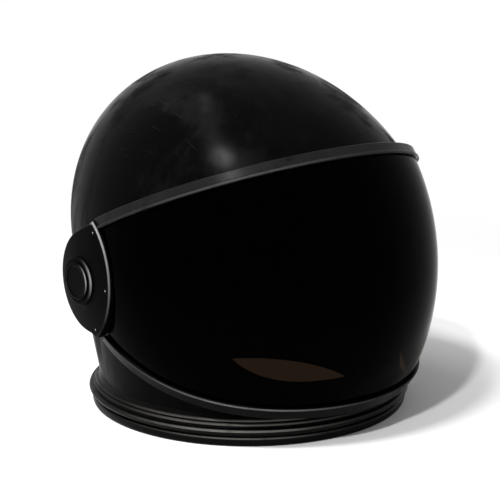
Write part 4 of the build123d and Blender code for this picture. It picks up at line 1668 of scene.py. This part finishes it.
@dataclass
class NeckRings:
    """The stepped neck ring, the base ring, the gasket between them, and the neck hole's rubber.

    The crests are the places, as rows of radius and height, that get a little rubbing all round and a painted
    highlight at the front left.
    """

    forms: tuple[RingForm, ...] = RING_FORMS
    steps: int = 240
    shade_angle: float = 35.0
    screw_count: int = 8
    screw_circle: float = 132.0 * MM
    screw_seat: float = 3.6 * MM
    first_screw: float = 22.5
    crests_mm: tuple[Pair, ...] = ((155.2, 7.6), (158.2, 15.2), (153.9, 19.6), (152.0, 23.0))
    crest_reach: float = 0.9 * MM
    crest_wear: Pair = (0.012, 0.42)

    def wear(self, points: Points) -> Points:
        """A little rubbing and a painted highlight along the crests of the beads and along the base ring's
        upper edge.

        Args:
            points: rows of x, y, z.

        Returns:
            The wear of each point.
        """
        radius = np.hypot(points[:, 0], points[:, 1])
        worn_and_lit = np.zeros(len(points))
        for reach, height in in_metres(self.crests_mm):
            worn_and_lit = np.maximum(worn_and_lit, np.hypot(radius - reach, points[:, 2] - height) < self.crest_reach)
        return worn_and_lit * front_left(points, *self.crest_wear)

    def ring(self, form: RingForm) -> Piece:
        """Builds one ring.

        Args:
            form: the ring's form.

        Returns:
            The piece.
        """
        mesh = lathe(form.name, rounded(in_metres(form.corners_mm)), (0.0, 0.0, 0.0), "Z", self.steps)
        shade(mesh, self.shade_angle)
        mark_wear(mesh, self.wear)
        return new_piece(form.name, mesh, Body.HELMET, form.slot, [form.node])

    def screws(self) -> RepeatedScrews:
        """The screws under the base ring.

        Returns:
            The screws, not built yet.
        """
        turns = np.radians(self.first_screw + np.arange(self.screw_count) * 360 / self.screw_count)
        circle = self.screw_circle * np.column_stack([np.cos(turns), np.sin(turns)])
        points = np.column_stack([circle, np.full(self.screw_count, self.screw_seat)])
        return RepeatedScrews(
            name="ring_screws_set", points=points, axis=(0.0, 0.0, -1.0),
            head_radius=4.9 * MM, head_height=2.4 * MM, shank_radius=2.4 * MM, shank_length=28.0 * MM,
        )

    def build(self) -> list[Piece]:
        """Builds the rings and the screws that hold them."""
        return [self.ring(form) for form in self.forms] + [self.screws().build(Body.HELMET, ["ring_screws"])]


@dataclass
class Pads:
    """The soft pads inside the shell, each swollen by cloth pressure from a slightly smaller block."""

    nodes: tuple[str, ...] = ("crown_pad", "brow_pad", "rear_pad", "side_pad_left", "side_pad_right")
    voxel: float = 5.0 * MM
    shrink: float = 1.6 * MM
    cap: float = 5.0 * MM
    pressure: float = 4.0
    cloth_steps: int = 5
    frames: int = 20
    shade_angle: float = 60.0

    def block(self, node: str) -> Piece:
        """A pad as an evenly meshed block, drawn in on all sides.

        Args:
            node: the pad's CAD node.

        Returns:
            The block.
        """
        pad = linked(f"{node}_soft", merged_copy(node, f"{node}_soft"))
        remesh = pad.modifiers.new("Even faces", "REMESH")
        remesh.mode = "VOXEL"
        remesh.voxel_size = self.voxel
        pad.data = carried_out(pad)
        pad.modifiers.clear()
        for vertex in pad.data.vertices:
            vertex.co -= vertex.normal * self.shrink
        return pad

    def puffed(self, pad: Piece) -> Mesh:
        """A block swollen by cloth under pressure.

        Args:
            pad: the block.

        Returns:
            The swollen mesh, as it is before its growth is held back.
        """
        cloth = pad.modifiers.new("Swell", "CLOTH")
        cloth.settings.use_pressure = True
        cloth.settings.uniform_pressure_force = self.pressure
        cloth.settings.effector_weights.gravity = 0.0
        cloth.settings.quality = self.cloth_steps
        for number in range(1, self.frames + 1):
            bpy.context.scene.frame_set(number)
        mesh = carried_out(pad)
        pad.modifiers.clear()
        bpy.context.scene.frame_set(1)
        return mesh

    def swollen(self, node: str) -> Mesh:
        """One pad's mesh, swollen by no more than the cap, and smoothed.

        Args:
            node: the pad's CAD node.

        Returns:
            The finished mesh.
        """
        pad = self.block(node)
        rest = read(pad.data.vertices, "co", 3)
        mesh = self.puffed(pad)
        moved = read(mesh.vertices, "co", 3) - rest
        length = np.linalg.norm(moved, axis=1)[:, None]
        held = rest + moved * np.minimum(1.0, self.cap / np.maximum(length, NEAR_ZERO))
        mesh.vertices.foreach_set("co", held.ravel())
        pad.data = mesh
        smooth = pad.modifiers.new("Round", "SUBSURF")
        smooth.levels = smooth.render_levels = 1
        done = carried_out(pad)
        bpy.data.objects.remove(pad)
        return done

    def build(self) -> list[Piece]:
        """Returns:
            The pieces.
        """
        pieces = []
        for node in self.nodes:
            mesh = self.swollen(node)
            mesh.name = f"{node}_soft"
            mesh.materials.clear()
            shade(mesh, self.shade_angle)
            piece = new_piece(f"{node}_soft", mesh, Body.HELMET, Slot.PADDING, [node])
            pieces.append(piece)
        return pieces


@dataclass
class PlainNodes:
    """The CAD nodes that keep their own meshes and only get a finish."""

    slots: dict[str, Slot] = field(default_factory=lambda: {
        row["node"]: Slot(row["material_slot"]) for row in frame["record"]["subparts"]
    })

    def build(self) -> None:
        """Gives every CAD node its slot's material."""
        for node, slot in self.slots.items():
            held = frame["nodes"][node]
            material = FINISHES[slot].material()
            if not held.material_slots:
                held.data.materials.append(material)
            for place in held.material_slots:
                place.material = material


# Light, floor and camera


@dataclass(frozen=True)
class Lamp:
    """One rectangular lamp."""

    name: str
    place: Triple
    size: Pair
    watts: float
    aim: Triple = (0.0, 0.0, 0.2)

    def hang(self) -> None:
        """Adds the lamp to the scene."""
        data = bpy.data.lights.new(self.name, "AREA")
        data.shape = "RECTANGLE"
        data.size, data.size_y = self.size
        data.energy = self.watts
        lamp = linked(self.name, data)
        lamp.location = self.place
        lamp.rotation_euler = (Vector(self.aim) - Vector(self.place)).to_track_quat("-Z", "Y").to_euler()


@dataclass
class Studio:
    """A pale floor, a white surround and soft lamps.

    The floor takes shadows up to the first distance of lit_floor and is plain white from the second on.
    """

    floor_side: float = 120.0
    floor_white: float = 0.98
    floor_rough: float = 0.9
    floor_specular: float = 0.1
    lit_floor: Pair = (0.3, 1.1)
    soft_light: float = 0.38
    lamps: tuple[Lamp, ...] = (
        Lamp("Key lamp", (-1.3, -0.75, 1.81), (0.12, 0.12), 24.0),
        Lamp("Crown lamp", (-0.97, -0.14, 2.0), (0.3, 0.3), 30.0),
        Lamp("Overhead strip", (-0.5, 0.5, 2.15), (1.5, 0.16), 9.0),
    )

    @staticmethod
    def rays(wiring: Wiring) -> tuple[Socket, Socket]:
        """Gives 1 for rays from the camera or a reflection, and 1 for rays that came through glass."""
        path = wiring.tree.nodes.new("ShaderNodeLightPath").outputs
        return wiring.larger(path["Is Camera Ray"], path["Is Glossy Ray"]), path["Is Transmission Ray"]

    def surround(self) -> None:
        """A world that is white to the camera, in reflections and through glass, and soft light otherwise."""
        world = bpy.data.worlds.new("Surround")
        bpy.context.scene.world = world
        world.use_nodes = True
        world.node_tree.nodes.clear()
        wiring = Wiring(world.node_tree)
        lights = []
        for strength in (self.soft_light, 1.0):
            light = wiring.tree.nodes.new("ShaderNodeBackground")
            light.inputs["Color"].default_value = WHITE
            light.inputs["Strength"].default_value = strength
            lights.append(light.outputs[0])
        out = wiring.tree.nodes.new("ShaderNodeOutputWorld")
        wiring.feed(out.inputs["Surface"], wiring.mixed_shader(wiring.larger(*self.rays(wiring)), *lights))

    def floor_paint(self) -> bpy.types.Material:
        """White paint that takes a shadow near the object, and is plain white farther off and through glass.

        Returns:
            The material.
        """
        material = bpy.data.materials.new("White floor")
        material.use_nodes = True
        wiring = Wiring(material.node_tree)
        nodes = wiring.tree.nodes
        shader = nodes["Principled BSDF"]
        shader.inputs["Base Color"].default_value = (*grey(self.floor_white), 1.0)
        shader.inputs["Roughness"].default_value = self.floor_rough
        shader.inputs["Specular IOR Level"].default_value = self.floor_specular
        white = nodes.new("ShaderNodeEmission")
        reach = nodes.new("ShaderNodeVectorMath")
        reach.operation = "LENGTH"
        wiring.feed(reach.inputs[0], nodes.new("ShaderNodeTexCoord").outputs["Object"])
        far = wiring.eased(reach.outputs["Value"], *self.lit_floor)
        seen, through = self.rays(wiring)
        share = wiring.larger(through, wiring.times(seen, far))
        mixed = wiring.mixed_shader(share, shader.outputs[0], white.outputs[0])
        wiring.feed(nodes["Material Output"].inputs["Surface"], mixed)
        return material

    def floor(self) -> None:
        """Lays the floor under the object."""
        half = self.floor_side / 2
        corners = np.array([(-half, -half, 0), (half, -half, 0), (half, half, 0), (-half, half, 0)])
        mesh = mesh_from("floor", corners, [(0, 1, 2, 3)])
        mesh.materials.append(self.floor_paint())
        floor = linked("floor", mesh)

    def build(self) -> None:
        """Sets up the surround, the floor and the lamps."""
        self.surround()
        self.floor()
        for lamp in self.lamps:
            lamp.hang()


@dataclass(frozen=True)
class PhotoCamera:
    """The camera of the photograph."""

    azimuth: float = -40.0
    elevation: float = 12.29
    distance: float = 1250.0 * MM
    focal_pixels: float = 1274.0
    aim_height: float = 144.9 * MM
    aim_side: float = 1.3 * MM
    nearest: float = 0.01
    farthest: float = 200.0

    def build(self) -> None:
        """Creates the camera and makes it the scene's."""
        turn, lift = math.radians(self.azimuth), math.radians(self.elevation)
        back = Vector((math.sin(turn) * math.cos(lift), -math.cos(turn) * math.cos(lift), math.sin(lift)))
        side = Vector((math.cos(turn), math.sin(turn), 0.0))
        data = bpy.data.cameras.new("Photo camera")
        data.sensor_width = SENSOR_MM
        data.lens = self.focal_pixels / IMAGE_SIDE * SENSOR_MM
        data.clip_start = self.nearest
        data.clip_end = self.farthest
        camera = linked("Photo camera", data)
        camera.location = Vector((0, 0, self.aim_height)) + side * self.aim_side + back * self.distance
        camera.rotation_euler = (-back).to_track_quat("-Z", "Y").to_euler()
        bpy.context.scene.camera = camera


def main() -> None:
    """Builds the helmet's pieces in order, then the studio and the camera."""
    bpy.context.scene.view_settings.view_transform = "Standard"
    PhotoCamera().build()
    PlainNodes().build()
    builders = [Shell(), NeckRings(), VisorFrame(), EarPlate(Side.LEFT), EarPlate(Side.RIGHT), Pads()]
    for builder in builders:
        for piece in builder.build():
            LOG.info("%s: %d faces", piece.name, len(piece.data.polygons))
    Studio().build()


if __name__ == "__main__":
    main()
